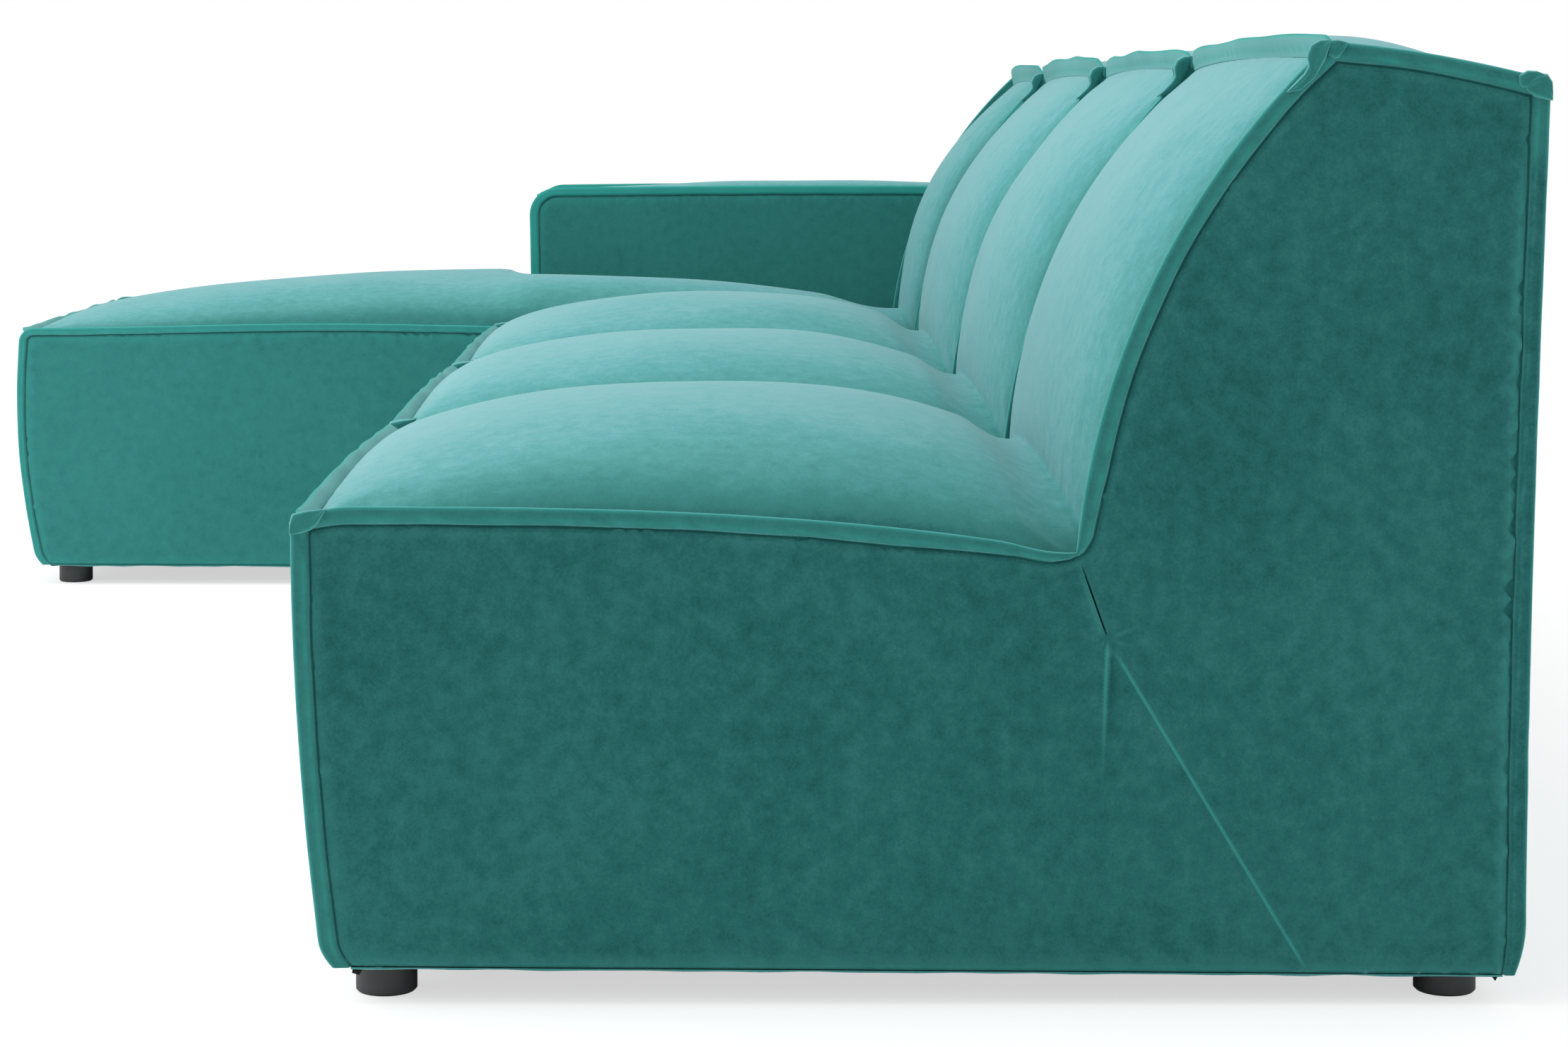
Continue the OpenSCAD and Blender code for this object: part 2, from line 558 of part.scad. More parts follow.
// Elastic webs, woven over and under each other across a rectangle
weave_slack = 2;
edge_gap = 2;                             // set-back of webs and plates from the edges
function weave_line(a, b, cross, up0) = concat([[a, 0]],
    flat([for (i = [0:len(cross) - 1]) let(h = (i + up0) % 2 * (web_t + soft_gap),
        w = web_w / 2 + weave_slack) [[cross[i] - w, h], [cross[i] + w, h]]]), [[b, 0]]);
module web(a, b, cross, up0) {
    low = weave_line(a, b, cross, up0);
    rotate([90, 0, 0]) translate([0, 0, -web_w / 2]) linear_extrude(web_w)
        polygon(concat(low, rev([for (p = low) p + [0, web_t]])));
}
function web_places(a, b) = let(n = max(2, floor((b - a) / web_pitch)))
    [for (i = [1:n - 1]) mix(a, b, i / n)];
module woven_webs(x0, x1, y0, y1) color(black_web) translate([0, 0, base_top]) {
    xs = web_places(x0, x1);
    ys = web_places(y0, y1);
    for (i = [0:len(ys) - 1]) translate([0, ys[i], 0]) web(x0, x1, xs, i % 2);
    for (i = [0:len(xs) - 1]) translate([xs[i], 0, 0]) rotate([0, 0, 90])
        web(y0, y1, ys, (i + 1) % 2);
}
module unit_webbing() woven_webs(frame_x + edge_gap, unit_w - frame_x - edge_gap,
    frame_front + edge_gap, frame_rear - edge_gap);

// Feet with their bolts and threaded inserts
module foot() rotate_extrude() polygon([[hole_d / 2, head_z + head_h],
    [head_d / 2 + 1, head_z + head_h], [head_d / 2 + 1, 0], [foot_d / 2 - foot_chamfer, 0],
    [foot_d / 2, foot_chamfer], [foot_d / 2, base_z - foot_chamfer / 2],
    [foot_d / 2 - foot_chamfer / 2, base_z], [hole_d / 2, base_z]]);
module foot_bolt() translate([0, 0, head_z]) {
    difference() {
        cylinder(d = head_d - 1, h = head_h);
        translate([0, 0, -1]) cylinder(d = head_d / 2 - 1, h = head_h / 2 + 1, $fn = 6);
    }
    translate([0, 0, head_h]) cylinder(d = bolt_d, h = bolt_l);
}
module foot_nut() translate([0, 0, base_z + block_h - nut_sink]) difference() {
    union() {
        cylinder(d = nut_d, h = nut_t);
        translate([0, 0, -barrel_l]) cylinder(d = barrel_d, h = barrel_l);
    }
    translate([0, 0, -barrel_l - 1]) cylinder(d = hole_d - bolt_gap, h = barrel_l + nut_t + 2);
}
module feet(places) color(feet_black) for (p = places) translate([p.x, p.y, 0]) foot();
module foot_bolts(places) color(zinc) for (p = places) translate([p.x, p.y, 0]) {
    foot_bolt();
    foot_nut();
}

// Connectors: a pin bracket under the right side, an eye plate under the left side
module eye_plates() color(zinc) for (y = plate_ys) translate([0, y, base_z - plate_t])
    difference() {
        block([left_x + edge_gap, left_x + block_w - edge_gap], [-plate_w / 2, plate_w / 2],
            [0, plate_t]);
        translate([pin_x, 0, -1]) cylinder(d = pin_d + 2 * pin_gap, h = plate_t + 2);
        for (dy = screw_ys()) translate([left_x + block_w - screw_in, dy, -1])
            cylinder(d = screw_d + 2 * bolt_gap, h = plate_t + 2);
    }
module pin_brackets() color(zinc) for (y = plate_ys) translate([0, y, 0]) {
    z0 = base_z - plate_t;
    z1 = z0 - bracket_drop;
    step_x = right_x + block_w - plate_t;
    tip_x = unit_w + pin_x;
    difference() {
        rotate([90, 0, 0]) translate([0, 0, -plate_w / 2]) linear_extrude(plate_w)
            polygon([[right_x + edge_gap, z0], [step_x, z0], [step_x + plate_t, z1], [tip_x, z1],
                [tip_x, z1 + plate_t], [step_x + 2 * plate_t, z1 + plate_t],
                [step_x + plate_t, z0 + plate_t], [right_x + edge_gap, z0 + plate_t]]);
        for (dy = screw_ys()) translate([right_x + screw_in, dy, z0 - 1])
            cylinder(d = screw_d + 2 * bolt_gap, h = plate_t + 2);
    }
    translate([tip_x, 0, z1]) {
        cylinder(d = plate_w, h = plate_t);
        cylinder(d = pin_d, h = plate_t + pin_l - pin_d / 4);
        translate([0, 0, plate_t + pin_l - pin_d / 4])
            cylinder(d1 = pin_d, d2 = pin_d / 2, h = pin_d / 4, $fn = 48);
    }
}
module plate_screw() translate([0, 0, base_z - plate_t]) {
    translate([0, 0, -screw_d / 2]) cylinder(d = 2 * screw_d, h = screw_d / 2);
    cylinder(d = screw_d, h = screw_l);
}
module plate_screws(left, right) color(zinc) for (y = plate_ys) for (dy = screw_ys()) {
    if (left) translate([left_x + block_w - screw_in, y + dy, 0]) plate_screw();
    if (right) translate([right_x + screw_in, y + dy, 0]) plate_screw();
}

// Dust cloth under the base, cut out round the feet and connectors
cut_gap = 3;
cloth_in = 1;                             // set-back of the cloth from the cover
module foot_cut(p) translate([p.x, p.y, base_z - cloth_t - 1])
    cylinder(d = foot_d + 2 * cut_gap, h = cloth_t + 2);
module connector_cut(x0, x1, y) block([x0, x1],
    [y - plate_w / 2 - cut_gap, y + plate_w / 2 + cut_gap], [base_z - cloth_t - 1, base_z + 1]);
module unit_dust_cloth(left, right) color(cloth_black) difference() {
    block([skin + cloth_in, unit_w - skin - cloth_in], [frame_front, frame_rear],
        [base_z - cloth_t, base_z]);
    for (p = foot_places()) foot_cut(p);
    for (y = plate_ys) {
        if (left) connector_cut(left_x - cut_gap, left_x + block_w + cut_gap, y);
        if (right) connector_cut(right_x - cut_gap, unit_w, y);
    }
}

// Padding of the base and the back
module side_sheet(x, y0, y1, z1) block([x + soft_gap, x + side_pad - soft_gap], [y0, y1],
    [base_z, z1]);
module unit_base_padding() color(wadding) {
    front_sheet(unit_rings, 0);
    for (x = [skin, unit_w - frame_x]) side_sheet(x, frame_front, frame_rear, base_top);
}
module back_padding(x0, x1, rings) color(wadding) {
    rear_sheet(rings);
    for (x = [x0 + skin, x1 - left_x])
        block([x + soft_gap, x + side_pad + board_t - soft_gap], [post_front, back_skin],
            [base_top + soft_gap, back_frame_h]);
}

// Chaise: an L-shaped base, with the arm standing in its notch
notch_y = arm_back - unit_gap - inner - short_inset * (flange_w + inner) - 2 * edge_bow - side_pad;
inside_x = arm_w + frame_x;
chaise_front = frame_front - chaise_l;
mid_foot_y = 130;
module chaise_base_padding() color(wadding) {
    front_sheet([for (r = chaise_lining(soft_gap)) if (!r[5] || r[0] < arm_w) r], -chaise_l);
    side_sheet(unit_w - frame_x, chaise_front, frame_rear, base_top);
    side_sheet(skin, chaise_front, notch_y + side_pad - soft_gap, base_top);
    side_sheet(arm_w + skin, notch_y + soft_gap, frame_rear, base_top);
    block([frame_x, arm_w + skin], [notch_y + soft_gap, notch_y + side_pad - soft_gap],
        [base_z, base_top]);
}
strap_ys = [arm_back + 2 * plate_in - unit_gap, unit_l - plate_in];
strap_x = arm_w - frame_x - board_t - block_w;
module chaise_base_frame() color(pine) difference() {
    union() {
        board_ring(inside_x, unit_w - frame_x, chaise_front, frame_rear);
        block([frame_x, inside_x], [chaise_front, chaise_front + board_t], [base_z, base_top]);
        block([frame_x, inside_x], [notch_y - board_t, notch_y], [base_z, base_top]);
        block([frame_x, frame_x + board_t], [chaise_front, notch_y], [base_z, base_top]);
        joist((arm_w + unit_w) / 2, chaise_front + board_t, frame_rear - board_t);
        for (y = [chaise_front + board_t, mid_foot_y - block_w / 2,
            frame_rear - board_t - block_w]) corner_block(right_x, y);
        corner_block(left_x, chaise_front + board_t);
        for (y = strap_ys) corner_block(inside_x + board_t, y - block_w / 2);
        connector_block(false, true);
    }
    for (p = chaise_feet_at) foot_bore(p);
    screw_holes(right_x + screw_in);
    for (y = strap_ys) strap_holes(inside_x + board_t + block_w - screw_in, y);
}
module strap_holes(x, y) for (dy = screw_ys())
    translate([x, y + dy, base_z - 1]) cylinder(d = screw_d + 2 * bolt_gap, h = screw_l + 2);
chaise_feet_at = [[unit_w - foot_side, foot_in - chaise_l], [foot_side, foot_in - chaise_l],
    [unit_w - foot_side, mid_foot_y], [unit_w - foot_side, unit_l - foot_in]];
arm_feet_at = [[foot_side, arm_frame_y + board_t + block_w / 2], [foot_side, unit_l - foot_in]];

// Arm: a board box with its own blocks and padding, strapped to the base from below
module arm_frame() color(pine) difference() {
    union() {
        for (x = [frame_x, arm_w - frame_x - board_t]) block([x, x + board_t],
            [arm_frame_y, frame_rear], [base_z, arm_frame_h - board_t]);
        for (y = [arm_frame_y, frame_rear - board_t]) block([frame_x, arm_w - frame_x],
            [y, y + board_t], [base_z, arm_frame_h - board_t]);
        block([frame_x, arm_w - frame_x], [arm_frame_y, frame_rear],
            [arm_frame_h - board_t, arm_frame_h]);
        for (y = [arm_frame_y + board_t, frame_rear - board_t - block_w])
            corner_block(left_x, y);
        for (y = strap_ys) corner_block(strap_x, y - block_w / 2);
    }
    for (p = arm_feet_at) foot_bore(p);
    for (y = strap_ys) strap_holes(strap_x + screw_in, y);
}
arm_rings = lining_rings(0, arm_w, soft_gap);
module arm_foam() color(foam_yellow) pad_of(arm_rings, [for (r = arm_rings) arm_outline(r)]);
module arm_padding() color(wadding) {
    pad_of(arm_rings, [for (r = arm_rings) arm_rear_outline(r)]);
    for (x = [skin, arm_w - frame_x]) side_sheet(x, arm_frame_y, frame_rear, arm_frame_h);
}

// Straps under the hems join the arm's blocks to the base's blocks
module arm_straps() color(zinc) for (y = strap_ys) translate([0, y, 0]) {
    z0 = base_z - plate_t;
    z1 = z0 - bracket_drop;
    xa = strap_x + block_w - plate_t;
    xb = inside_x + board_t + plate_t;
    end_x = inside_x + board_t + block_w - edge_gap;
    low_line = [[strap_x + edge_gap, z0], [xa, z0], [xa + plate_t, z1], [xb - plate_t, z1], [xb, z0],
        [end_x, z0]];
    difference() {
        rotate([90, 0, 0]) translate([0, 0, -plate_w / 2]) linear_extrude(plate_w)
            polygon(concat(low_line, rev([for (p = low_line) p + [0, plate_t]])));
        for (x = [strap_x + screw_in, inside_x + board_t + block_w - screw_in])
            for (dy = screw_ys()) translate([x, dy, z0 - 1])
                cylinder(d = screw_d + 2 * bolt_gap, h = plate_t + 2);
    }
}
module chaise_plate_screws() {
    plate_screws(false, true);
    color(zinc) for (y = strap_ys) for (dy = screw_ys())
        for (x = [strap_x + screw_in, inside_x + board_t + block_w - screw_in])
            translate([x, y + dy, 0]) plate_screw();
}
module chaise_webbing() color(black_web) translate([0, 0, base_top]) {
    x1 = unit_w - frame_x - edge_gap;
    y0 = chaise_front + edge_gap;
    y1 = frame_rear - edge_gap;
    xs = web_places(inside_x, x1);
    ys = web_places(y0, y1);
    for (i = [0:len(ys) - 1]) translate([0, ys[i], 0])
        web((ys[i] < notch_y - web_w / 2 ? frame_x : inside_x) + edge_gap, x1, xs, i % 2);
    for (i = [0:len(xs) - 1]) translate([xs[i], 0, 0]) rotate([0, 0, 90])
        web(y0, y1, ys, (i + 1) % 2);
}
module chaise_dust_cloth() color(cloth_black) difference() {
    union() {
        z = [base_z - cloth_t, base_z];
        inner_x = arm_w + skin + cloth_in;
        block([inner_x, unit_w - skin - cloth_in], [chaise_front, frame_rear], z);
        block([skin + cloth_in, inner_x], [chaise_front, notch_y], z);
        block([skin + cloth_in, arm_w - skin - cloth_in], [arm_frame_y, frame_rear], z);
    }
    for (p = concat(chaise_feet_at, arm_feet_at)) foot_cut(p);
    for (y = plate_ys) connector_cut(right_x - cut_gap, unit_w, y);
    for (y = strap_ys) connector_cut(strap_x - cut_gap,
        inside_x + board_t + block_w + cut_gap, y);
}

unit_rings = lining_rings(0, unit_w, soft_gap);
chaise_back_rings = [for (r = lining_rings(arm_w, unit_w, soft_gap)) low(r)];
unit_feet_at = foot_places();
inside_left = arm_w + left_x;
module at(slot) translate([slot * unit_w, row_y, 0]) children();

at(m1_slot) unit_cover();  // m1_cover
at(m2_slot) unit_cover();  // m2_cover
at(m3_slot) unit_cover();  // m3_cover
at(chaise_slot) chaise_cover();
at(chaise_slot) arm_cover();  // chaise_arm_cover
at(m1_slot) seat_foam(unit_rings, 0);  // m1_seat_foam
at(m2_slot) seat_foam(unit_rings, 0);  // m2_seat_foam
at(m3_slot) seat_foam(unit_rings, 0);  // m3_seat_foam
at(m1_slot) back_foam(unit_rings);  // m1_back_foam
at(m2_slot) back_foam(unit_rings);  // m2_back_foam
at(m3_slot) back_foam(unit_rings);  // m3_back_foam
at(m1_slot) unit_base_padding();  // m1_base_padding
at(m2_slot) unit_base_padding();  // m2_base_padding
at(m3_slot) unit_base_padding();  // m3_base_padding
at(m1_slot) back_padding(0, unit_w, unit_rings);  // m1_back_padding
at(m2_slot) back_padding(0, unit_w, unit_rings);  // m2_back_padding
at(m3_slot) back_padding(0, unit_w, unit_rings);  // m3_back_padding
at(m1_slot) unit_base_frame(true, false);  // m1_base_frame
at(m2_slot) unit_base_frame(true, true);  // m2_base_frame
at(m3_slot) unit_base_frame(true, true);  // m3_base_frame
at(m1_slot)  // m1_back_frame
    back_frame_between(left_x, unit_w - left_x);
at(m2_slot)  // m2_back_frame
    back_frame_between(left_x, unit_w - left_x);
at(m3_slot)  // m3_back_frame
    back_frame_between(left_x, unit_w - left_x);
at(m1_slot) unit_webbing();  // m1_webbing
at(m2_slot) unit_webbing();  // m2_webbing
at(m3_slot) unit_webbing();  // m3_webbing
at(m1_slot) feet(unit_feet_at);  // m1_feet
at(m2_slot) feet(unit_feet_at);  // m2_feet
at(m3_slot) feet(unit_feet_at);  // m3_feet
at(m1_slot) foot_bolts(unit_feet_at);  // m1_foot_bolts
at(m2_slot) foot_bolts(unit_feet_at);  // m2_foot_bolts
at(m3_slot) foot_bolts(unit_feet_at);  // m3_foot_bolts
at(m1_slot) unit_dust_cloth(true, false);  // m1_dust_cloth
at(m2_slot) unit_dust_cloth(true, true);  // m2_dust_cloth
at(m3_slot) unit_dust_cloth(true, true);  // m3_dust_cloth
at(m1_slot) eye_plates();  // m1_eye_plates
at(m2_slot) eye_plates();  // m2_eye_plates
at(m3_slot) eye_plates();  // m3_eye_plates
at(m2_slot) pin_brackets();  // m2_pin_brackets
at(m3_slot) pin_brackets();  // m3_pin_brackets
at(chaise_slot) pin_brackets();  // chaise_pin_brackets
at(m1_slot) plate_screws(true, false);  // m1_plate_screws
at(m2_slot) plate_screws(true, true);  // m2_plate_screws
at(m3_slot) plate_screws(true, true);  // m3_plate_screws
at(chaise_slot)  // chaise_seat_foam
    seat_foam(chaise_lining(soft_gap), -chaise_l);
at(chaise_slot) back_foam(chaise_back_rings);  // chaise_back_foam
at(chaise_slot) chaise_base_padding();
at(chaise_slot)  // chaise_back_padding
    back_padding(arm_w, unit_w, chaise_back_rings);
at(chaise_slot) chaise_base_frame();
at(chaise_slot)  // chaise_back_frame
    back_frame_between(inside_left, unit_w - left_x);
at(chaise_slot) chaise_webbing();
at(chaise_slot)  // chaise_feet
    feet(concat(chaise_feet_at, arm_feet_at));
at(chaise_slot)  // chaise_foot_bolts
    foot_bolts(concat(chaise_feet_at, arm_feet_at));
at(chaise_slot) chaise_dust_cloth();
at(chaise_slot) chaise_plate_screws();
at(chaise_slot) arm_foam();  // chaise_arm_foam
at(chaise_slot) arm_padding();  // chaise_arm_padding
at(chaise_slot) arm_frame();  // chaise_arm_frame
at(chaise_slot) arm_straps();  // chaise_arm_straps
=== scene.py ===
import json
import math
import bpy
import bmesh
import numpy as np
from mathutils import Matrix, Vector
from mathutils.geometry import delaunay_2d_cdt


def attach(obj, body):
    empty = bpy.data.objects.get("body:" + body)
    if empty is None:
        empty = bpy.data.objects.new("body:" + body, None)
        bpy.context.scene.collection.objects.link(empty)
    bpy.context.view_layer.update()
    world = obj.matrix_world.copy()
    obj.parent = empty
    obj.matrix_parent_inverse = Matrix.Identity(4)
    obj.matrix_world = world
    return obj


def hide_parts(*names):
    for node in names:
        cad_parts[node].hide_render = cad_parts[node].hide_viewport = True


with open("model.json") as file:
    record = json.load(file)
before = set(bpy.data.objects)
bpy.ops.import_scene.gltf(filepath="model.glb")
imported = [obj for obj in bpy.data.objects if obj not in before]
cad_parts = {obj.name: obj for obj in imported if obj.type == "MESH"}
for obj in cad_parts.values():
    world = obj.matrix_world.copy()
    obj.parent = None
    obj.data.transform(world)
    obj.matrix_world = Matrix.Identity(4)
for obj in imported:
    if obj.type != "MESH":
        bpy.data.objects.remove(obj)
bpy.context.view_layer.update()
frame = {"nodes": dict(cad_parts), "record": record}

# sizes shared by the sewn covers, in metres, as the frame underneath has them
sofa = {
    "unitWidth": 0.8, "gap": 0.001, "hem": 0.032,
    "unitDepth": 1.0566, "frontSetBack": 0.006,
    "seatLength": 0.658, "seatHeight": 0.4165, "seatFall": 0.0385,
    "backRadius": 0.6595, "leanFoot": 5.3, "leanTop": 47.3,
    "topLength": 0.182, "topFall": 0.032,
    "frontTaper": 0.025, "rearTaper": 0.0165,
    "hemAt": 0.06, "hemRound": 0.009, "hemFall": 0.0065, "hemEase": 37,
    "chaiseLength": 0.740, "chaiseShare": 0.90,
    "armWidth": 0.240, "armHeight": 0.610, "armSetBack": 0.029, "armRound": 0.048,
}
# the seat's front corner: its radius, how far it droops, and over what length
unitCorner = {"round": 0.007, "droop": 0.006, "over": 0.05, "bow": 0.0}
chaiseCorner = {"round": 0.024, "droop": 0.009, "over": 0.55, "bow": 0.009}
leastRound = 0.0005
swell = {"seat": 0.089, "back": 0.038, "top": 0.032, "arm": 0.022, "panel": 0.012,
         "sidePower": 0.52, "seatPeak": 0.65, "seatPower": 0.45, "creaseShare": 0.66,
         "creasePower": 2.8, "backFoot": 0.4, "backTop": 0.3, "edgeBow": 0.004}
flange = {"width": 0.015, "thick": 0.005, "step": 0.0025, "squashed": 0.55, "chaiseSquashed": 0.75}

leanFoot, leanTop = math.radians(sofa["leanFoot"]), math.radians(sofa["leanTop"])
backFall = sofa["backRadius"] * (math.cos(leanFoot) - math.cos(leanTop))
backRise = sofa["backRadius"] * (math.sin(leanTop) - math.sin(leanFoot))
unitLength = sofa["seatLength"] + backFall + sofa["topLength"]
rowY = (sofa["chaiseLength"] - sofa["unitDepth"]) / 2
topFront = np.array([sofa["seatLength"] + backFall, sofa["seatHeight"] - sofa["seatFall"] + backRise])
topRear = topFront + np.array([sofa["topLength"], -sofa["topFall"]])
normalBack = np.array([-math.cos(leanTop), math.sin(leanTop)])
normalTop = np.array([sofa["topFall"], sofa["topLength"]]) / math.hypot(sofa["topFall"], sofa["topLength"])


def mix(a, b, t):
    return a + (b - a) * t


def arch(t):
    return np.maximum(0.0, np.sin(np.pi * np.clip(t, 0, 1))) ** swell["sidePower"]


def ease(t):
    t = np.clip(t, 0, 1)
    return t * t * (3 - 2 * t)


# a ripple's waves: how many, the slowest and the fastest for its length, and what levels their sum
hills = {"waves": 7, "slowest": 0.6, "fastest": 1.5, "level": 3.2}


def ripple(seed, length, *coords):
    # smooth random hills about one length apart, mostly between -1 and 1
    rng = np.random.default_rng(seed)
    total = 0.0
    for count in range(hills["waves"]):
        turn = rng.normal(size=len(coords))
        turn = turn / np.linalg.norm(turn) * rng.uniform(hills["slowest"], hills["fastest"])
        wave = rng.uniform(0, 2 * np.pi)
        for c, d in zip(coords, turn):
            wave = wave + 2 * np.pi / length * d * c
        total = total + np.sin(wave)
    return total / hills["level"]


# the side view of a unit

def backSwell(v):
    return mix(swell["backFoot"], swell["backTop"], v) + (1 - swell["backFoot"]) * np.sin(np.pi * v)


def seatSwell(u):
    peak = swell["seatPeak"]
    rise = np.sin(np.pi / 2 * np.clip(u / peak, 0, 1)) ** swell["seatPower"]
    past = np.clip((u - peak) / (1 - peak), 0, 1) ** swell["creasePower"]
    fall = 1 - (1 - swell["creaseShare"]) * past
    return np.where(u < peak, rise, fall)


def cornerIn(p, n1, n2, d):
    # the corner p of two panels, moved inwards by d
    s = (n1 + n2) / (1 + float(n1 @ n2))
    return p[0] - d * s[0], p[1] - d * s[1]


def hemCurl(share, inset=0.0):
    # how far the lowest stretch of a panel is drawn in; share runs from the hem to the top
    # inside the flange it is drawn in less, because the frame's boards stand behind it
    return sofa["hemRound"] * np.clip(1 - share / sofa["hemAt"], 0, 1) ** 2 * (1 - sofa["hemEase"] * inset)


def corner(frontY):
    return chaiseCorner if frontY < 0 else unitCorner


def droop(y, frontY):
    c = corner(frontY)
    return c["droop"] * (1 - ease((y - frontY) / c["over"]))


def frontRows(t, inset, crown, frontY):
    c = corner(frontY)
    y = (frontY + inset + sofa["frontTaper"] * (1 - t) ** 2 + hemCurl(t) - c["bow"] * np.sin(np.pi * t)
         - swell["panel"] * crown * np.sin(np.pi * mix(sofa["hemAt"], 1, t)))
    top = sofa["seatHeight"] - inset - c["droop"]
    z = mix(sofa["hem"], top, t) + 0 * crown
    r = np.maximum(c["round"] - inset, leastRound)
    a = np.pi / 4 * np.clip((z - top + r) / r, 0, 1)
    return y + r * (1 - np.cos(a)), np.where(a > 0, top - r + r * np.sin(a), z)


def backRows(q, inset, crown):
    lift = swell["creaseShare"] * swell["seat"] * crown
    v0 = lift / (sofa["backRadius"] * (leanTop - leanFoot))
    v = v0 + (1 - v0) * q
    a = mix(leanFoot, leanTop, v)
    out = swell["back"] * crown * backSwell(v) - inset
    y = sofa["seatLength"] + sofa["backRadius"] * (math.cos(leanFoot) - np.cos(a)) - out * np.cos(a)
    z = (sofa["seatHeight"] - sofa["seatFall"] + sofa["backRadius"] * (np.sin(a) - math.sin(leanFoot))
         + out * np.sin(a))
    # the outline's own corner stands an inset lower than the curve's foot
    return y, z - inset * (1 - q) ** 6


# over what length the chaise's crown changes beside the arm, and the share of a seat drawn to the back's foot
crownBlend, footPull = 0.06, 0.1


def seatRows(u, inset, crown, frontY, frontCrown):
    footY, footZ = backRows(np.zeros_like(u), inset, crown)
    y = mix(frontY + inset, footY, u)
    past = np.clip((y - sofa["armSetBack"]) / crownBlend + 0.5, 0, 1)
    c = mix(frontCrown, crown, past)
    depth = np.clip((y - frontY) / (sofa["seatLength"] - frontY), 0, 1)
    z = (sofa["seatHeight"] - sofa["seatFall"] * depth ** 3 - droop(y, frontY) - inset
         + swell["seat"] * c * seatSwell(u))
    r = np.maximum(corner(frontY)["round"] - inset, leastRound)
    start = frontY + inset
    a = np.pi / 4 * (1 + np.clip((y - start) / r, 0, 1))
    y = np.where(y < start + r, start + r * (1 - np.cos(a)), y)
    z = z - r * (1 - np.sin(a))
    # the last stretch is drawn to the foot of the back
    return y, mix(z, footZ, ease((u - (1 - footPull)) / footPull))


def topRows(w, inset, crown):
    y2, z2 = cornerIn(topFront, normalBack, normalTop, inset)
    y2 = y2 + swell["backTop"] * swell["back"] * crown * normalBack[0]
    z2 = z2 + swell["backTop"] * swell["back"] * crown * normalBack[1]
    y3, z3 = cornerIn(topRear, normalTop, np.array([1.0, 0.0]), inset)
    z = mix(z2, z3, w) + swell["top"] * crown * arch(w) + swell["edgeBow"] * np.sin(np.pi * w)
    return mix(y2, y3, w), z


def rearRows(t, inset, crown):
    z3 = cornerIn(topRear, normalTop, np.array([1.0, 0.0]), inset)[1]
    y = (unitLength - inset - sofa["rearTaper"] * np.sin(np.pi / 2 * t) - hemCurl(1 - t, inset)
         + swell["panel"] * crown * np.sin(np.pi * mix(0, 1 - sofa["hemAt"], t)))
    return y, mix(z3, sofa["hem"] - sofa["hemFall"], t) + 0 * crown


def spaced(n, tight=0.0):
    # n + 1 shares from 0 to 1, closer together at both ends
    s = np.linspace(0, 1, n + 1)
    return mix(s, (1 - np.cos(np.pi * s)) / 2, tight)


# rows of each panel, with how much closer together they lie at its ends
rowCount = {"front": (44, 0.6), "seat": (72, 0.7), "back": (54, 0.4), "top": (24, 0.6), "rear": (54, 0.5),
            "wall": (34, 0.3), "step": (30, 0.0),
            "armFront": (50, 0.5), "armTop": (90, 0.6), "armRear": (50, 0.5)}
# more seat rows for each metre of the chaise, and where the back's last row stops short of the top
chaiseRows, backEnd = 0.9, 0.984


def sideOutline(inset, frontY=sofa["frontSetBack"], crown=0.0, frontCrown=None):
    # rows from the front hem over seat, back and top to the rear hem; crown may be one value a column
    crown = np.atleast_1d(np.asarray(crown, float))[None, :]
    frontCrown = crown if frontCrown is None else np.atleast_1d(np.asarray(frontCrown, float))[None, :]
    inset = np.atleast_1d(np.asarray(inset, float))[None, :] + 0 * crown
    seats, tight = rowCount["seat"]
    f = spaced(*rowCount["front"])[:-1, None]
    s = spaced(round(seats * (1 - min(frontY, 0) * chaiseRows)), tight)[:-1, None]
    b = spaced(*rowCount["back"])[:-1, None] * backEnd
    w = spaced(*rowCount["top"])[:-1, None]
    r = spaced(*rowCount["rear"])[:, None]
    parts = [frontRows(f, inset, frontCrown, frontY), seatRows(s, inset, crown, frontY, frontCrown),
             backRows(b, inset, crown), topRows(w, inset, crown), rearRows(r, inset, crown)]
    marks = np.cumsum([0] + [len(p[0]) for p in parts])
    y = np.vstack([p[0] + 0 * crown for p in parts])
    z = np.vstack([p[1] + 0 * crown for p in parts])
    return y, z, marks


# the chaise's short wall in front of its arm: its clearance, the rows where the outline leaves and meets
# the seat again, its lean with the inset, its bow and crown, its drop from the seat's last row, and its
# painted light
shortWall = {"clear": 0.003, "before": 0.006, "past": 0.012, "lean": 0.2, "bow": 0.003, "crown": 0.004,
             "drop": 0.0006, "pile": 0.1}
armWall = sofa["armSetBack"] - 2 * sofa["gap"] - shortWall["clear"]
chaiseY = sideOutline(flange["width"], -sofa["chaiseLength"])[0][:, 0]
rowsToArm = int(np.argmax(chaiseY > armWall - shortWall["before"]))
rowsPastArm = int(np.argmax(chaiseY > armWall + shortWall["past"]))


def wallLine(down, inset):
    # the short wall's place; down runs from the seat to the hem
    return armWall - shortWall["lean"] * inset - shortWall["bow"] * np.sin(np.pi * down)


def shortOutline(inset):
    # the chaise's own side view up to its arm, and then down in front of it
    y, z, marks = sideOutline(inset, -sofa["chaiseLength"])
    last = rowsToArm
    inset = np.atleast_1d(np.asarray(inset, float))[None, :]
    down = spaced(*rowCount["wall"])[:, None]
    wallY = wallLine(down, inset) + 0 * z[:1]
    wallZ = mix(z[last - 1:last] - shortWall["drop"], sofa["hem"], down)
    return np.vstack([y[:last], wallY]), np.vstack([z[:last], wallZ]), [0, marks[1], last, last + len(down)]


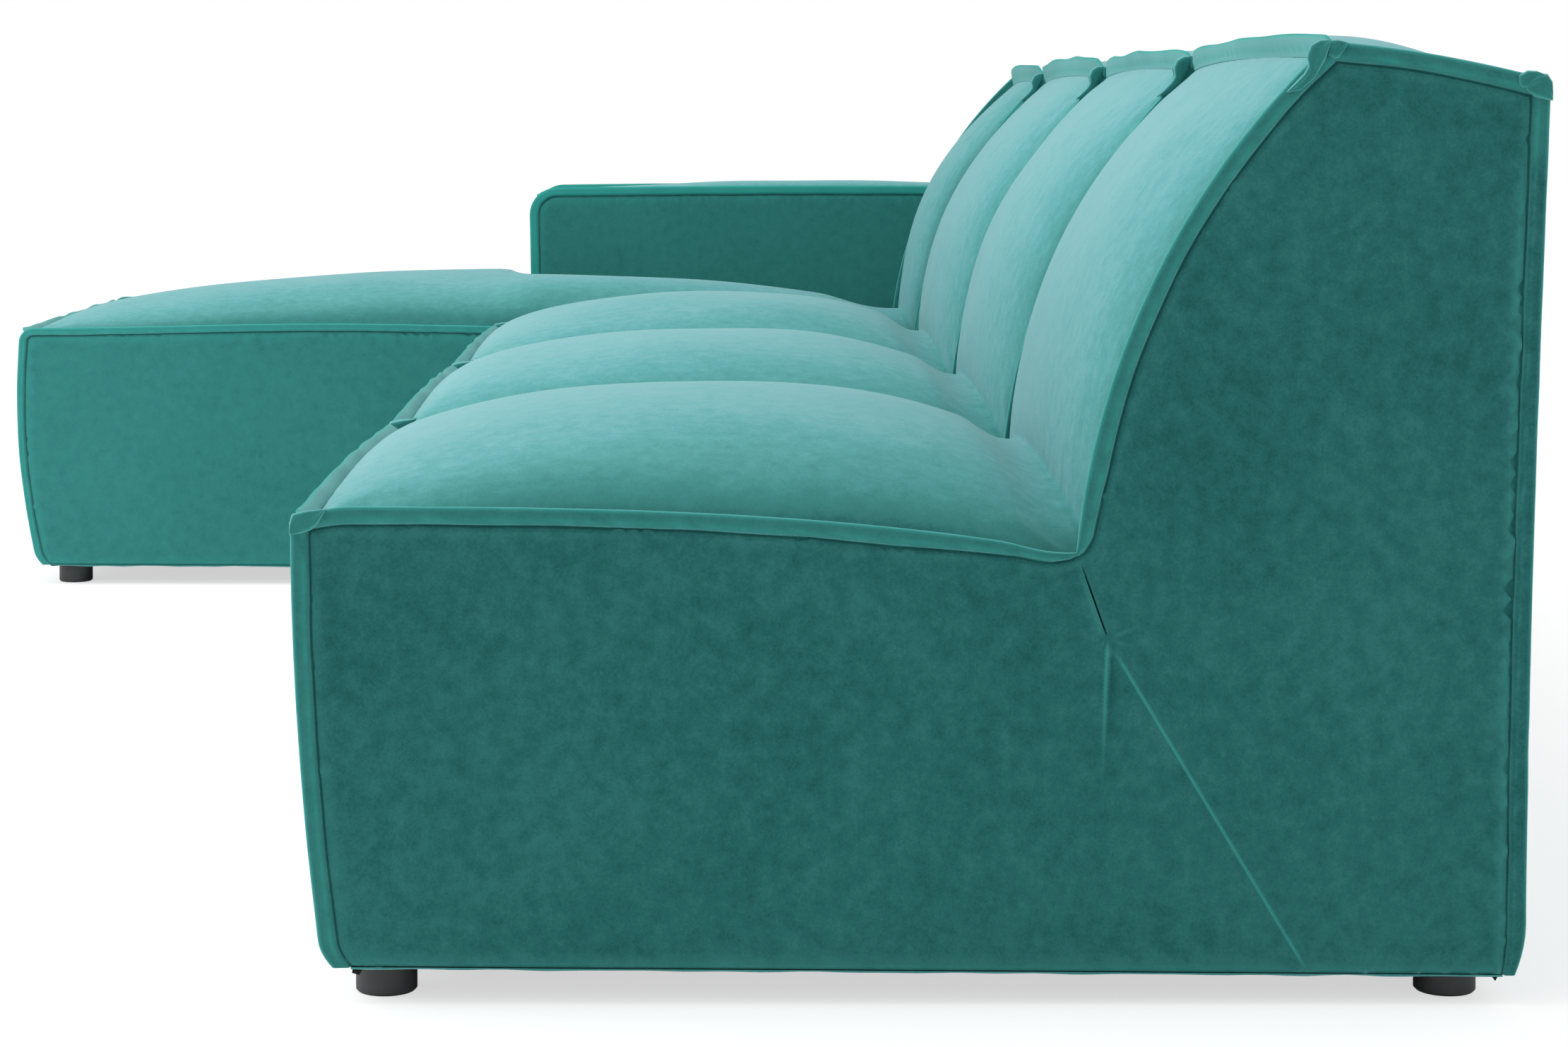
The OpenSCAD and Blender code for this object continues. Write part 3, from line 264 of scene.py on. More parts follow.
def stepOutline(inset):
    # the side beside the arm, from the arm's front to the rear hem
    y, z, marks = sideOutline(inset, -sofa["chaiseLength"])
    first = rowsPastArm
    inset = np.atleast_1d(np.asarray(inset, float))[None, :]
    up = spaced(*rowCount["step"])[:-1, None]
    start = np.repeat(y[first:first + 1] - shortWall["before"], len(up), 0) + inset
    return (np.vstack([start, y[first:]]), np.vstack([mix(sofa["hem"], z[first:first + 1], up), z[first:]]),
            [0, len(up)] + [m - first + len(up) for m in marks[2:]])


def armOutline(inset, crown=0.0):
    # rows from the front hem over the rounded corner and the top to the rear hem
    crown = np.atleast_1d(np.asarray(crown, float))[None, :]
    inset = np.atleast_1d(np.asarray(inset, float))[None, :] + 0 * crown
    f = spaced(*rowCount["armFront"])[:-1, None]
    w = spaced(*rowCount["armTop"])[:-1, None]
    r = spaced(*rowCount["armRear"])[:, None]
    y1, z1 = sofa["armSetBack"] + inset, sofa["armHeight"] - inset
    y2 = unitLength - inset
    bend = np.maximum(sofa["armRound"] - inset, leastRound)
    bow = (swell["edgeBow"] - swell["panel"] * crown) * np.sin(np.pi * mix(sofa["hemAt"], 1, f))
    fy = y1 + bow + hemCurl(f)
    fz = mix(sofa["hem"], z1, f)
    a = np.pi / 4 * np.clip((fz - z1 + bend) / bend, 0, 1)
    fy, fz = fy + bend * (1 - np.cos(a)), np.where(a > 0, z1 - bend + bend * np.sin(a), fz)
    ty = mix(y1, y2, w)
    a = np.pi / 4 * (1 + np.clip((ty - y1) / bend, 0, 1))
    tz = z1 + swell["arm"] * crown * arch(w) + swell["edgeBow"] * np.sin(np.pi * w) - bend * (1 - np.sin(a))
    ty = np.where(ty < y1 + bend, y1 + bend * (1 - np.cos(a)), ty)
    ry = (y2 - sofa["rearTaper"] * np.sin(np.pi / 2 * r) - hemCurl(1 - r, inset)
          + swell["panel"] * crown * np.sin(np.pi * mix(0, 1 - sofa["hemAt"], r)))
    rz = mix(z1, sofa["hem"] - sofa["hemFall"], r)
    marks = np.cumsum([0, len(f), len(w), len(r)])
    return np.vstack([fy + 0 * crown, ty + 0 * crown, ry]), np.vstack([fz, tz, rz]), marks


# shells, and the mesh made of them

class Shells:
    # gathers grids and triangles of one cover, with a value of painted light and shade for each point
    def __init__(self):
        self.points, self.faces, self.pile, self.count = [], [], [], 0

    def add(self, points, faces, pile=0.0):
        points = np.asarray(points, float).reshape(-1, 3)
        self.points.append(points)
        self.pile.append(np.broadcast_to(np.asarray(pile, float).reshape(-1), (len(points),)))
        self.faces.append(np.asarray(faces, int) + self.count)
        self.count += len(points)

    def grid(self, points, flip=False, pile=0.0):
        rows, cols = points.shape[:2]
        index = np.arange(rows * cols).reshape(rows, cols)
        quad = np.stack([index[:-1, :-1], index[:-1, 1:], index[1:, 1:], index[1:, :-1]], -1).reshape(-1, 4)
        pile = np.broadcast_to(np.asarray(pile, float), (rows, cols)) if np.ndim(pile) else pile
        self.add(points, quad[:, ::-1] if flip else quad, pile)

    def mesh(self, name, shift=(0, 0, 0)):
        points = np.vstack(self.points) + np.array(shift)
        faces = [tuple(int(i) for i in f) for group in self.faces for f in group]
        data = bpy.data.meshes.new(name)
        data.from_pydata(points.tolist(), [], faces)
        data.update()
        piece = bpy.data.objects.new(name, data)
        bpy.context.scene.collection.objects.link(piece)
        # each point's painted light and shade is stored on the mesh for the velvet material
        data.attributes.new("pile", "FLOAT", "POINT").data.foreach_set(
            "value", np.concatenate(self.pile).astype(np.float32))
        whole = bmesh.new()
        whole.from_mesh(data)
        bmesh.ops.remove_doubles(whole, verts=whole.verts, dist=0.00002)
        whole.to_mesh(data)
        whole.free()
        data.shade_smooth()
        return piece


def lengths(y, z):
    # running length down the rows
    step = np.hypot(np.diff(y, axis=0), np.diff(z, axis=0))
    return np.vstack([np.zeros((1, y.shape[1])), np.cumsum(step, axis=0)])


def gridNormals(p):
    a = np.gradient(p, axis=0)
    b = np.gradient(p, axis=1)
    n = np.cross(b, a)
    size = np.linalg.norm(n, axis=2, keepdims=True)
    return n / np.maximum(size, 1e-12)


# heights of the wrinkles, how far apart they lie, and how far from a seam or a corner they start and reach
wrinkles = {"broad": 0.0012, "broadLength": 0.30, "broadStart": 0.08,
            "pucker": 0.00035, "sideLength": 0.034, "seamLength": 0.040, "puckerStart": 0.004,
            "puckerReach": 0.022,
            "drag": 0.0009, "rays": 7, "sway": 2, "swayLength": 0.5, "dragStart": 0.02, "dragAt": 0.055,
            "dragReach": 0.045}

# painted light and shade: how much darker the seat and the back are painted beside the near flange and in the
# crease, the painted light along seams and sides, the thin painted shade at the back's foot, how much darker
# the chaise top and how much lighter the far sides, the arm's flanges and the flanges across are painted, and
# over what lengths this fades
paintedLightAndShade = {"seatNear": 0.40, "seatReach": 0.13, "backNear": 0.46, "backReach": 0.12,
           "crease": 0.22, "creaseSeat": 0.11, "creaseBack": 0.04, "edge": 0.25, "edgeReach": 0.006,
           "foot": 0.25, "footReach": 0.005, "chaiseTop": -0.15, "farSide": 0.30, "armFold": 0.8,
           "crossFold": 0.35}


def wrapShell(shells, x, y, z, marks, seed, wall=None, foot=0, shadeOffset=0.0):
    # the stretched panels between the side seams, with puckers along every seam and drag lines at the
    # corners; wall is the row and the column where the chaise steps back beside its arm
    w, b = wrinkles, paintedLightAndShade
    p = np.stack([np.broadcast_to(x[None, :], y.shape), y, z], -1)
    n = gridNormals(p)
    run = lengths(y, z)
    side = np.minimum(x - x[0], x[-1] - x)[None, :] + 0 * y
    if wall is not None:
        stepRow, stepColumn = wall
        behind = run - run[stepRow][None, :]
        near = np.abs(x - x[stepColumn])[None, :] + 0.5 * np.maximum(0, -behind)
        side = np.minimum(side, near)
    seam = np.full(y.shape, np.inf)
    for m in list(marks[1:-1]) + [0, len(y) - 1]:
        seam = np.minimum(seam, np.abs(run - run[min(m, len(y) - 1)][None, :]))
    edge = np.minimum(side, seam)
    lift = w["broad"] * ripple(seed, w["broadLength"], p[..., 0], run) * ease(edge / w["broadStart"])
    for away, hill in ((side, ripple(seed + 1, w["sideLength"], run)),
                       (seam, ripple(seed + 2, w["seamLength"], p[..., 0]))):
        lift = lift + w["pucker"] * hill * np.exp(-away / w["puckerReach"]) * ease(away / w["puckerStart"])
    sway = w["sway"] * ripple(seed + 3, w["swayLength"], p[..., 0], run)
    fan = w["rays"] * np.arctan2(seam, side + 1e-6) + sway
    ring = np.exp(-((np.hypot(side, seam) - w["dragAt"]) / w["dragReach"]) ** 2)
    lift = lift + w["drag"] * np.cos(fan) * ring * ease(edge / w["dragStart"])
    p = p + n * lift[..., None]
    # painted shade: the seat and the back darker towards the near side and the crease between them, a thin
    # painted shade line at the back's foot, painted light along seams and sides, and one painted offset for
    # the whole cover
    fold = run - run[min(foot, len(y) - 1)][None, :]
    near = (x[-1] - x)[None, :]
    seatShade = -b["seatNear"] * np.exp(-near / b["seatReach"]) - b["crease"] * np.exp(fold / b["creaseSeat"])
    backShade = -b["backNear"] * np.exp(-near / b["backReach"]) - b["crease"] * np.exp(-fold / b["creaseBack"])
    pile = b["edge"] * np.exp(-edge / b["edgeReach"]) + np.where(fold < 0, seatShade, backShade)
    pile = pile + shadeOffset - b["foot"] * np.exp(-(fold / b["footReach"]) ** 2)
    if wall is None:
        shells.grid(p, False, pile)
    else:
        shells.grid(p[:stepRow + 1, :stepColumn + 1], False, pile[:stepRow + 1, :stepColumn + 1])
        shells.grid(p[:, stepColumn:], False, pile[:, stepColumn:])
    return p


# heights above the seam and depths below the flange's face, from the panel round the fold to the cushion
foldLine = [(-0.0002, 0.0058), (0.0000, 0.0044), (0.0004, 0.0022), (0.0014, 0.0008), (0.0040, 0.0002),
            (0.0075, 0.0004), (0.0110, 0.0001), (0.0134, 0.0005), (0.0147, 0.0015), (0.0150, 0.0026),
            (0.0146, 0.0038), (0.0130, 0.0046), (0.0095, 0.0049), (0.0050, 0.0047), (0.0012, 0.0048),
            (-0.004, 0.0062)]
foldHeight = np.array([h for h, d in foldLine])
foldDepth = np.array([d for h, d in foldLine])
foldShare = np.clip(foldHeight / flange["width"], 0, 1)
edgeRow = int(np.argmax(foldHeight))


# the light on a fold, by shares of its height: on its edge and in a patchy band, with its first
# columns in the seam
foldLight = {"base": 0.24, "edge": 0.72, "edgeAt": 0.97, "edgeWide": 0.07, "band": 0.10, "patch": 0.30,
             "patchLength": 0.035, "bandAt": 0.30, "bandWide": 0.16, "seam": (-0.6, -0.5, -0.2)}


def foldPaintedShading(run, seed):
    # the fold's edge and a band along its middle catch the light, and the seam lies in the dark
    f = foldLight
    patch = 0.5 + 0.5 * ripple(seed, f["patchLength"], run)[:, None]
    band = np.exp(-((foldShare - f["bandAt"]) / f["bandWide"]) ** 2)[None, :]
    pile = f["base"] + f["edge"] * np.exp(-((foldShare - f["edgeAt"]) / f["edgeWide"]) ** 2)[None, :]
    pile = pile + (f["band"] + f["patch"] * patch) * band
    pile[:, :3] = f["seam"]
    return pile


# the rear upright seam starts this far from the rear and from the top, and the hem's painted light this far
# above it
seamLight = {"rear": 0.045, "rearOver": 0.012, "top": 0.06, "topOver": 0.04, "hem": 0.010, "hemOver": 0.006}


def seamPlace(y, z):
    # shares of the rear upright stretch, whose flange lies flat and is painted dark, and of the hem, which is
    # painted light
    s = seamLight
    rear = ease((y - unitLength + s["rear"]) / s["rearOver"])
    rear = rear * ease((topRear[1] - s["top"] - z) / s["topOver"])
    return rear, ease((sofa["hem"] + s["hem"] - z) / s["hemOver"])


# unevenness of a side's flange with its lengths, how far it may sink, and the painted shade of its rear
# upright stretch, where the seam's painted shade is weakened
uneven = {"wide": 0.02, "wideLength": 0.12, "thick": 0.12, "thickLength": 0.05, "sway": 0.0007,
          "swayLength": 0.09, "sunk": -0.0006, "rearSeam": 0.85, "rearDark": 0.34, "rearShare": 0.9}


def sideFlange(shells, xFace, way, outline, seed, narrow=None, squash=1.0, shadeOffset=0.0):
    # the standing double fold round one side; way is +1 where the face looks to +X
    rows, u = [], uneven
    for height in foldHeight:
        y, z, marks = outline(np.array([flange["width"] - height * (squash if height > 0 else 1)]))
        rows.append(np.hstack([y, z]))
    rows = np.stack(rows, 1)
    base = rows[:, 0]
    run = lengths(base[:, :1], base[:, 1:])[:, 0]
    scale = np.ones(len(run)) if narrow is None else narrow(run, marks)
    scale = scale * (1 + u["wide"] * ripple(seed, u["wideLength"], run))
    # a narrow stretch draws the seam to the fold's edge, and the fold's back stays
    front, edge = slice(0, edgeRow), rows[:, edgeRow:edgeRow + 1]
    rows[:, front] = edge + (rows[:, front] - edge) * scale[:, None, None]
    base = rows[:, 0]
    thick = 1 + u["thick"] * ripple(seed + 1, u["thickLength"], run)[:, None] * foldShare[None, :]
    sway = u["sway"] * ripple(seed + 2, u["swayLength"], run)[:, None] * foldShare[None, :] ** 1.5
    x = xFace - way * np.clip(foldDepth[None, :] * thick + sway, u["sunk"], 1)
    pile = foldPaintedShading(run, seed + 3) + shadeOffset
    # painted shade: the flange's rear upright stretch is painted darker, and its seam's painted shade is
    # weakened there
    rear = seamPlace(base[:, 0], base[:, 1])[0]
    pile[:, :3] = pile[:, :3] * (1 - u["rearSeam"] * rear[:, None])
    pile = pile - u["rearDark"] * rear[:, None] * (foldShare < u["rearShare"])[None, :]
    shells.grid(np.stack([x, rows[..., 0], rows[..., 1]], -1), way > 0, pile)
    return base


def within(points, starts, ends):
    # which points lie inside the loops, by the odd number of edges to their right
    inside = np.zeros(len(points), bool)
    for a, b in zip(starts, ends):
        rise = b[1] - a[1]
        if abs(rise) > 1e-12:
            at = a[0] + (points[:, 1] - a[1]) / rise * (b[0] - a[0])
            inside ^= ((a[1] > points[:, 1]) != (b[1] > points[:, 1])) & (points[:, 0] < at)
    return inside


def nearest(points, others):
    # each point's distance to the nearest of the others
    return np.array([np.hypot(*(others - q).T).min() for q in points])


def triangulate(points, edges, kind, apart):
    # the points joined into triangles that keep the edges; kind 1 keeps only what they enclose
    out = delaunay_2d_cdt([Vector(q) for q in points.tolist()], edges, [], kind, apart)
    return np.array([list(v) for v in out[0]]), np.array([f for f in out[2] if len(f) == 3])


def turns(flat, faces):
    # twice the area of each triangle, above 0 where it runs anticlockwise
    a, b, c = (flat[faces[:, k]] for k in range(3))
    return (b[:, 0] - a[:, 0]) * (c[:, 1] - a[:, 1]) - (b[:, 1] - a[:, 1]) * (c[:, 0] - a[:, 0])


# the panel inside a flange: where its points lie, its swell and unevenness, and its painted light and shade
# beside the seam
panel = {"jitter": 0.12, "beside": (0.0026, 0.0062), "besideClear": 0.004, "seamClear": 0.0020,
         "creaseStep": 0.0035, "creaseRows": (0.0011, 0.0022, 0.004, 0.007, 0.012), "creaseClear": 0.006,
         "swell": 0.0013, "swellOver": 0.12, "uneven": 0.0009, "unevenLength": 0.22, "unevenOver": 0.05,
         "stepOver": 0.0035, "light": 0.16, "rearLight": 0.22, "lightAt": 0.0065, "lightWide": 0.003,
         "dark": 0.55, "rearDark": 0.85, "darkReach": 0.0020, "hemLight": 0.5, "hemReach": 0.0025}


def creasePoints(creases):
    # rows of points along each crease, closer together towards its line
    rows = [-off for off in reversed(panel["creaseRows"])] + [0] + list(panel["creaseRows"])
    points = []
    for c in creases:
        a, b = np.array(c["start"]), np.array(c["end"])
        along = np.linspace(0, 1, int(np.linalg.norm(b - a) / panel["creaseStep"]) + 2)[:, None]
        cross = np.array([-(b - a)[1], (b - a)[0]]) / np.linalg.norm(b - a)
        points += [mix(a, b, along) + cross * off for off in rows]
    return np.vstack(points)


def sidePanel(shells, xFace, way, base, seed, creases=(), cell=0.011, shadeOffset=0.0):
    # the flat panel inside the flange, its points laid closer along the creases
    k = panel
    hemN = max(4, int(np.linalg.norm(base[-1] - base[0]) / cell))
    hem = mix(base[-1], base[0], np.linspace(0, 1, hemN + 1)[1:-1, None])
    ring = np.vstack([base, hem])
    lo, hi = ring.min(0), ring.max(0)
    rng = np.random.default_rng(seed)
    gy, gz = np.meshgrid(np.arange(lo[0], hi[0], cell), np.arange(lo[1], hi[1], cell * 0.866))
    gy = gy + (np.arange(gy.shape[0]) % 2)[:, None] * cell / 2
    inner = np.stack([gy.ravel(), gz.ravel()], 1) + rng.uniform(-1, 1, (gy.size, 2)) * cell * k["jitter"]
    beside = np.vstack([inwards(base, d) for d in k["beside"]])
    inner = inner[nearest(inner, beside) > k["besideClear"]]
    if creases:
        extra = creasePoints(creases)
        inner = np.vstack([inner[nearest(inner, extra) > k["creaseClear"]], extra])
    inner = np.vstack([inner, beside])
    inner = inner[within(inner, ring, np.roll(ring, -1, 0)) & (nearest(inner, ring) > k["seamClear"])]
    edges = [(i, (i + 1) % len(ring)) for i in range(len(ring))]
    flat, faces = triangulate(np.vstack([ring, inner]), edges, 1, 1e-6)
    away = nearest(flat, ring)
    hill = k["uneven"] * ripple(seed, k["unevenLength"], flat[:, 0], flat[:, 1])
    lift = k["swell"] * ease(away / k["swellOver"]) + hill * ease(away / k["unevenOver"])
    lift = lift - (foldDepth[0] - flange["step"]) * (1 - ease(away / k["stepOver"]))
    # painted light in a band beside the seam, stronger along the rear upright stretch; painted shade right at
    # the seam, weaker along the rear stretch and none at the hem; painted light along the hem
    rear, low = seamPlace(flat[:, 0], flat[:, 1])
    light = np.exp(-((away - k["lightAt"]) / k["lightWide"]) ** 2)
    pile = (k["light"] + k["rearLight"] * rear) * light + shadeOffset
    pile = pile - k["dark"] * (1 - k["rearDark"] * rear) * (1 - low) * np.exp(-(away / k["darkReach"]) ** 2)
    pile = pile + k["hemLight"] * low * np.exp(-(away / k["hemReach"]) ** 2)
    # each crease: painted light along its ridge and painted shade along its groove line
    for c in creases:
        a, b = np.array(c["start"]), np.array(c["end"])
        d = (b - a) / np.linalg.norm(b - a)
        t = (flat - a) @ d / np.linalg.norm(b - a)
        s = (flat - a) @ np.array([-d[1], d[0]])
        hold = ease(t / c["fadeIn"]) * ease((1 - t) / c["fadeOut"])
        wide, beyond = c["width"], s - c.get("shift", 0)
        line = np.exp(-(s / (wide * c.get("sharp", 0.45))) ** 2)
        lift = lift + hold * (c["ridge"] * np.exp(-(beyond / wide) ** 2) - c["groove"] * line)
        pile = pile + hold * c["pile"] * np.exp(-(beyond / (wide * 0.6)) ** 2)
        pile = pile - hold * c.get("dark", 0) * line
    x = xFace - way * (flange["step"] - lift)
    faces = np.where((turns(flat, faces) > 0)[:, None] == (way > 0), faces, faces[:, ::-1])
    shells.add(np.stack([x, flat[:, 0], flat[:, 1]], 1), faces, np.clip(pile, -1, 1))


def inwards(line, d):
    # the open outline moved in by d; it runs with the panel on its right
    run = np.gradient(line, axis=0)
    run = run / np.maximum(np.linalg.norm(run, axis=1, keepdims=True), 1e-9)
    return line + d * np.stack([run[:, 1], -run[:, 0]], 1)


# the sway of a flange across the sofa and its length, how much lower its ends are, and the painted shade in
# its seam
crossSeam = {"sway": 0.0012, "swayLength": 0.18, "ends": 0.45, "seam": -0.3}


def crossFlange(shells, x, y, z, angle, seed, height=0.018, curl=0.022, lean=3, rough=0.04, length=0.26):
    # a flange that stands on a seam from side to side, lower at its two ends
    side = np.minimum(x - x[0], x[-1] - x)
    a = np.radians(angle + lean * ripple(seed, length, x))
    ends = 1 - crossSeam["ends"] * (1 - ease(side / curl))
    tall = height * (1 + rough * ripple(seed + 2, length / 2, x)) * ends
    sway = crossSeam["sway"] * ripple(seed + 3, crossSeam["swayLength"], x)
    points = []
    for up, depth in foldLine:
        share = up / flange["width"]
        rise = share * tall
        out = flange["thick"] / 2 - depth + sway * max(0, share) ** 1.5
        points.append(np.stack([x, y + np.cos(a) * rise + np.sin(a) * out,
                                z + np.sin(a) * rise - np.cos(a) * out], -1))
    # painted light on the whole fold, and painted shade in its seam
    pile = foldPaintedShading(x, seed + 4) + paintedLightAndShade["crossFold"]
    pile[:, :3] = crossSeam["seam"]
    shells.grid(np.stack(points, 1), False, pile)


# curl, lean, unevenness and its length, of the loose flap along the top of the back
topFlap = (0.030, 7, 0.07, 0.75)


# steps inwards and upwards of the cover's edge, folded under the base, and its wave, length and painted light
hemFold = {"ends": [(0.0, 0.0), (0.001, -0.0016), (0.004, -0.0026), (0.012, -0.0020), (0.026, -0.0004)],
           "sides": [(0.0, 0.0), (0.001, -0.0016), (0.004, -0.0026), (0.009, -0.0020), (0.016, -0.0004)],
           "wave": 0.0008, "length": 0.09, "pile": 0.3}


def turnUnder(shells, x, y, inward, seed, hem=sofa["hem"]):
    # the hem of a front or a rear panel
    wave = hemFold["wave"] * ripple(seed, hemFold["length"], x)
    points = [np.stack([x, y + inward * d, hem + h + wave * (d > 0)], -1) for d, h in hemFold["ends"]]
    shells.grid(np.stack(points, 1), inward > 0, hemFold["pile"])


def sideHem(shells, xFace, way, first, last, seed, columns=60):
    # the hem of a side panel, between the flange's two ends
    y = np.linspace(first[0], last[0], columns)
    hem = np.linspace(first[1], last[1], columns)
    wave = hemFold["wave"] * ripple(seed, hemFold["length"], y)
    points = []
    for d, h in hemFold["sides"]:
        x = np.full_like(y, xFace - way * (flange["step"] + d))
        points.append(np.stack([x, y, hem + h + wave * (d > 0)], -1))
    shells.grid(np.stack(points, 1), way < 0, hemFold["pile"])


# a folded end: rows and columns, how far it reaches into the flange, its dent, and its painted light with a
# lighter painted edge
pillow = {"long": 26, "wide": 12, "sink": 0.005, "dent": 0.25, "pile": 0.3, "edge": 0.7, "edgeWide": 0.10,
          "squashedIn": 0.0035, "squashedRise": 0.6}


def foldPillow(shells, xFace, way, upper, lower, rise):
    # a folded end of a flange: a closed pillow between two outlines, which lies on the flange's face
    u, v = np.linspace(0, 1, pillow["long"]), np.linspace(0, 1, pillow["wide"])
    sides = []
    for line in (upper, lower):
        line = np.array(line)
        at = np.concatenate([[0], np.cumsum(np.hypot(*np.diff(line, axis=0).T))])
        sides.append(np.stack([np.interp(u * at[-1], at, line[:, k]) for k in (0, 1)], -1))
    flat = mix(sides[0][:, None], sides[1][:, None], v[None, :, None])
    across, along = np.abs(2 * v - 1)[None, :], np.abs(2 * u - 1)[:, None]
    puff = (1 - across ** 4) ** 0.5 * (1 - along ** 8) ** 0.5
    dent = pillow["dent"] * np.sin(2 * np.pi * (v[None, :] + 0.6 * u[:, None]))
    glow = pillow["pile"] + pillow["edge"] * np.exp(-((1 - v[None, :]) / pillow["edgeWide"]) ** 2) + 0 * puff
    for share, flip in ((rise * (1 + dent), way > 0), (-pillow["sink"], way < 0)):
        x = xFace + way * share * puff
        shells.grid(np.stack([x + 0 * puff, flat[..., 0], flat[..., 1]], -1), flip, glow)


# the folded corners of a side's flange, in y and z of the unit: outlines that meet at both ends
cornerFolds = {
    "seatFlap": {"upper": [(0.0055, 0.3935), (0.0058, 0.4030), (0.0080, 0.4105), (0.0200, 0.4130),
                           (0.0365, 0.4145)],
                 "lower": [(0.0060, 0.3930), (0.0150, 0.3940), (0.0236, 0.3968), (0.0290, 0.4010),
                           (0.0365, 0.4140)],
                 "rise": 0.0026},
    "backFacet": {"upper": [(0.8300, 0.7600), (0.8449, 0.7755), (0.8480, 0.7815), (0.8465, 0.7900),
                            (0.8500, 0.7985),
                            (0.8570, 0.8025), (0.8675, 0.8030)],
                  "lower": [(0.8310, 0.7590), (0.8417, 0.7610), (0.8535, 0.7710), (0.8621, 0.7856),
                            (0.8670, 0.8020)],
                  "rise": 0.0045},
    "backTuck": {"upper": [(0.8640, 0.8025), (0.8720, 0.8030), (0.8805, 0.8005)],
                 "lower": [(0.8640, 0.7900), (0.8700, 0.7868), (0.8735, 0.7880),
                           (0.8800, 0.7980)], "rise": 0.0034},
    "rearFold": {"upper": [(1.0216, 0.7735), (1.0290, 0.7775), (1.0367, 0.7770), (1.0440, 0.7740)],
                 "lower": [(1.0225, 0.7660), (1.0249, 0.7630), (1.0310, 0.7640),
                           (1.0400, 0.7720)], "rise": 0.0034},
    "rearCap": {"upper": [(1.0270, 0.7640), (1.0367, 0.7735), (1.0453, 0.7750), (1.0498, 0.7680),
                          (1.0500, 0.7540)],
                "lower": [(1.0280, 0.7620), (1.0346, 0.7555), (1.0454, 0.7530),
                          (1.0500, 0.7525)], "rise": 0.0040},
}


# creases that run from the foot of the back down the side panel, with painted light along their ridges and
# painted shade in their grooves: places are y and z of the unit
sideCreases = [
    {"start": (0.6602, 0.3745), "end": (0.6835, 0.3090), "width": 0.0034, "ridge": 0.0008, "groove": 0.0085,
     "sharp": 0.22, "fadeIn": 0.45, "fadeOut": 0.10, "pile": 0.30, "dark": 0.9, "shift": -0.0035},
    {"start": (0.6843, 0.3060), "end": (0.6790, 0.1750), "width": 0.0023, "ridge": 0.0014, "groove": 0.0,
     "fadeIn": 0.10, "fadeOut": 0.80, "pile": 0.95},
    {"start": (0.6880, 0.3000), "end": (0.6815, 0.1800), "width": 0.0050, "ridge": 0.0, "groove": 0.0014,
     "sharp": 1.0, "fadeIn": 0.10, "fadeOut": 0.80, "pile": 0.0, "dark": 0.30},
    {"start": (0.6880, 0.2960), "end": (0.8500, 0.0270), "width": 0.0016, "ridge": 0.0007, "groove": 0.0007,
     "sharp": 0.9, "fadeIn": 0.05, "fadeOut": 0.06, "pile": 0.85, "shift": 0.0016},
    {"start": (0.6870, 0.3085), "end": (0.7130, 0.3182), "width": 0.0021, "ridge": 0.0010, "groove": 0.0,
     "fadeIn": 0.3, "fadeOut": 0.7, "pile": 0.30},
    {"start": (0.6880, 0.3060), "end": (0.7120, 0.2985), "width": 0.0021, "ridge": 0.0008, "groove": 0.0,
     "fadeIn": 0.3, "fadeOut": 0.7, "pile": 0.26},
    {"start": (0.6835, 0.3055), "end": (0.6680, 0.2915), "width": 0.0028, "ridge": 0.0006, "groove": 0.0,
     "fadeIn": 0.2, "fadeOut": 0.9, "pile": 0.18},
]


# how wide the flange stays near the foot of the back: distances before and after it, and shares
pinch = {"before": ((0, 0.010, 0.030, 0.070, 0.150), (0.10, 0.34, 0.58, 0.76, 1.0)),
         "after": ((0, 0.006, 0.025, 0.080), (0.14, 0.34, 0.76, 1.0))}


def innerPinch(run, marks):
    at = run[min(marks[2], len(run) - 1)]
    return np.where(run < at, np.interp(at - run, *pinch["before"]), np.interp(run - at, *pinch["after"]))


# columns of each cover, with how much closer together they lie at its ends, and how far the panels reach
# past the flanges
columnCount = {"unit": (76, 0.85), "besideArm": (30, 0.6), "chaise": (60, 0.85), "arm": (26, 0.7)}
overlap = 0.001
# the angle of the flange on each seam across, by the seam's mark, and how the front seam is drawn up
seamAngles = {1: 135, 3: 100, 4: 45}
frontSeam = {"rise": 0.006, "spread": 18.0}
# heights of the loose seam along the top of each back
flaps = {"unit": (0.0195, 0.0205, 0.026), "chaise": 0.027}


def unitCover(name, slotX, seed, endOn, flap):
    # endOn says which side stands free of a neighbour
    shells = Shells()
    left, right = sofa["gap"], sofa["unitWidth"] - sofa["gap"]
    inLeft, inRight = left + flange["thick"], right - flange["thick"]
    share = spaced(*columnCount["unit"])
    x = mix(inLeft - overlap, inRight + overlap, share)
    y, z, marks = sideOutline(flange["width"], sofa["frontSetBack"], arch(share))
    nearSeam = np.exp(-(np.arange(len(y)) - marks[1]) ** 2 / frontSeam["spread"])[:, None]
    z = z + frontSeam["rise"] * np.sin(np.pi * share)[None, :] * nearSeam
    wrapShell(shells, x, y, z, marks, seed, foot=marks[2])
    for k, angle in seamAngles.items():
        m = marks[k]
        crossFlange(shells, x, y[m], z[m], angle, seed + 10 * k, *(flap, *topFlap) if k == 3 else ())
    turnUnder(shells, x, y[0], 1, seed + 5)
    turnUnder(shells, x, y[-1], -1, seed + 6, z[-1])
    for xFace, way in ((left, -1), (right, 1)):
        free = endOn == way
        base = sideFlange(shells, xFace, way, sideOutline, seed + 20 + way, innerPinch,
                          1.0 if free else flange["squashed"])
        sidePanel(shells, xFace, way, base, seed + 30 + way, sideCreases)
        for fold in cornerFolds.values():
            foldPillow(shells, xFace - way * (0 if free else pillow["squashedIn"]), way, fold["upper"],
                       fold["lower"], fold["rise"] * (1 if free else pillow["squashedRise"]))
        sideHem(shells, xFace, way, base[0], base[-1], seed + 40 + way)
    return shells.mesh(name, (slotX * sofa["unitWidth"], rowY, 0))


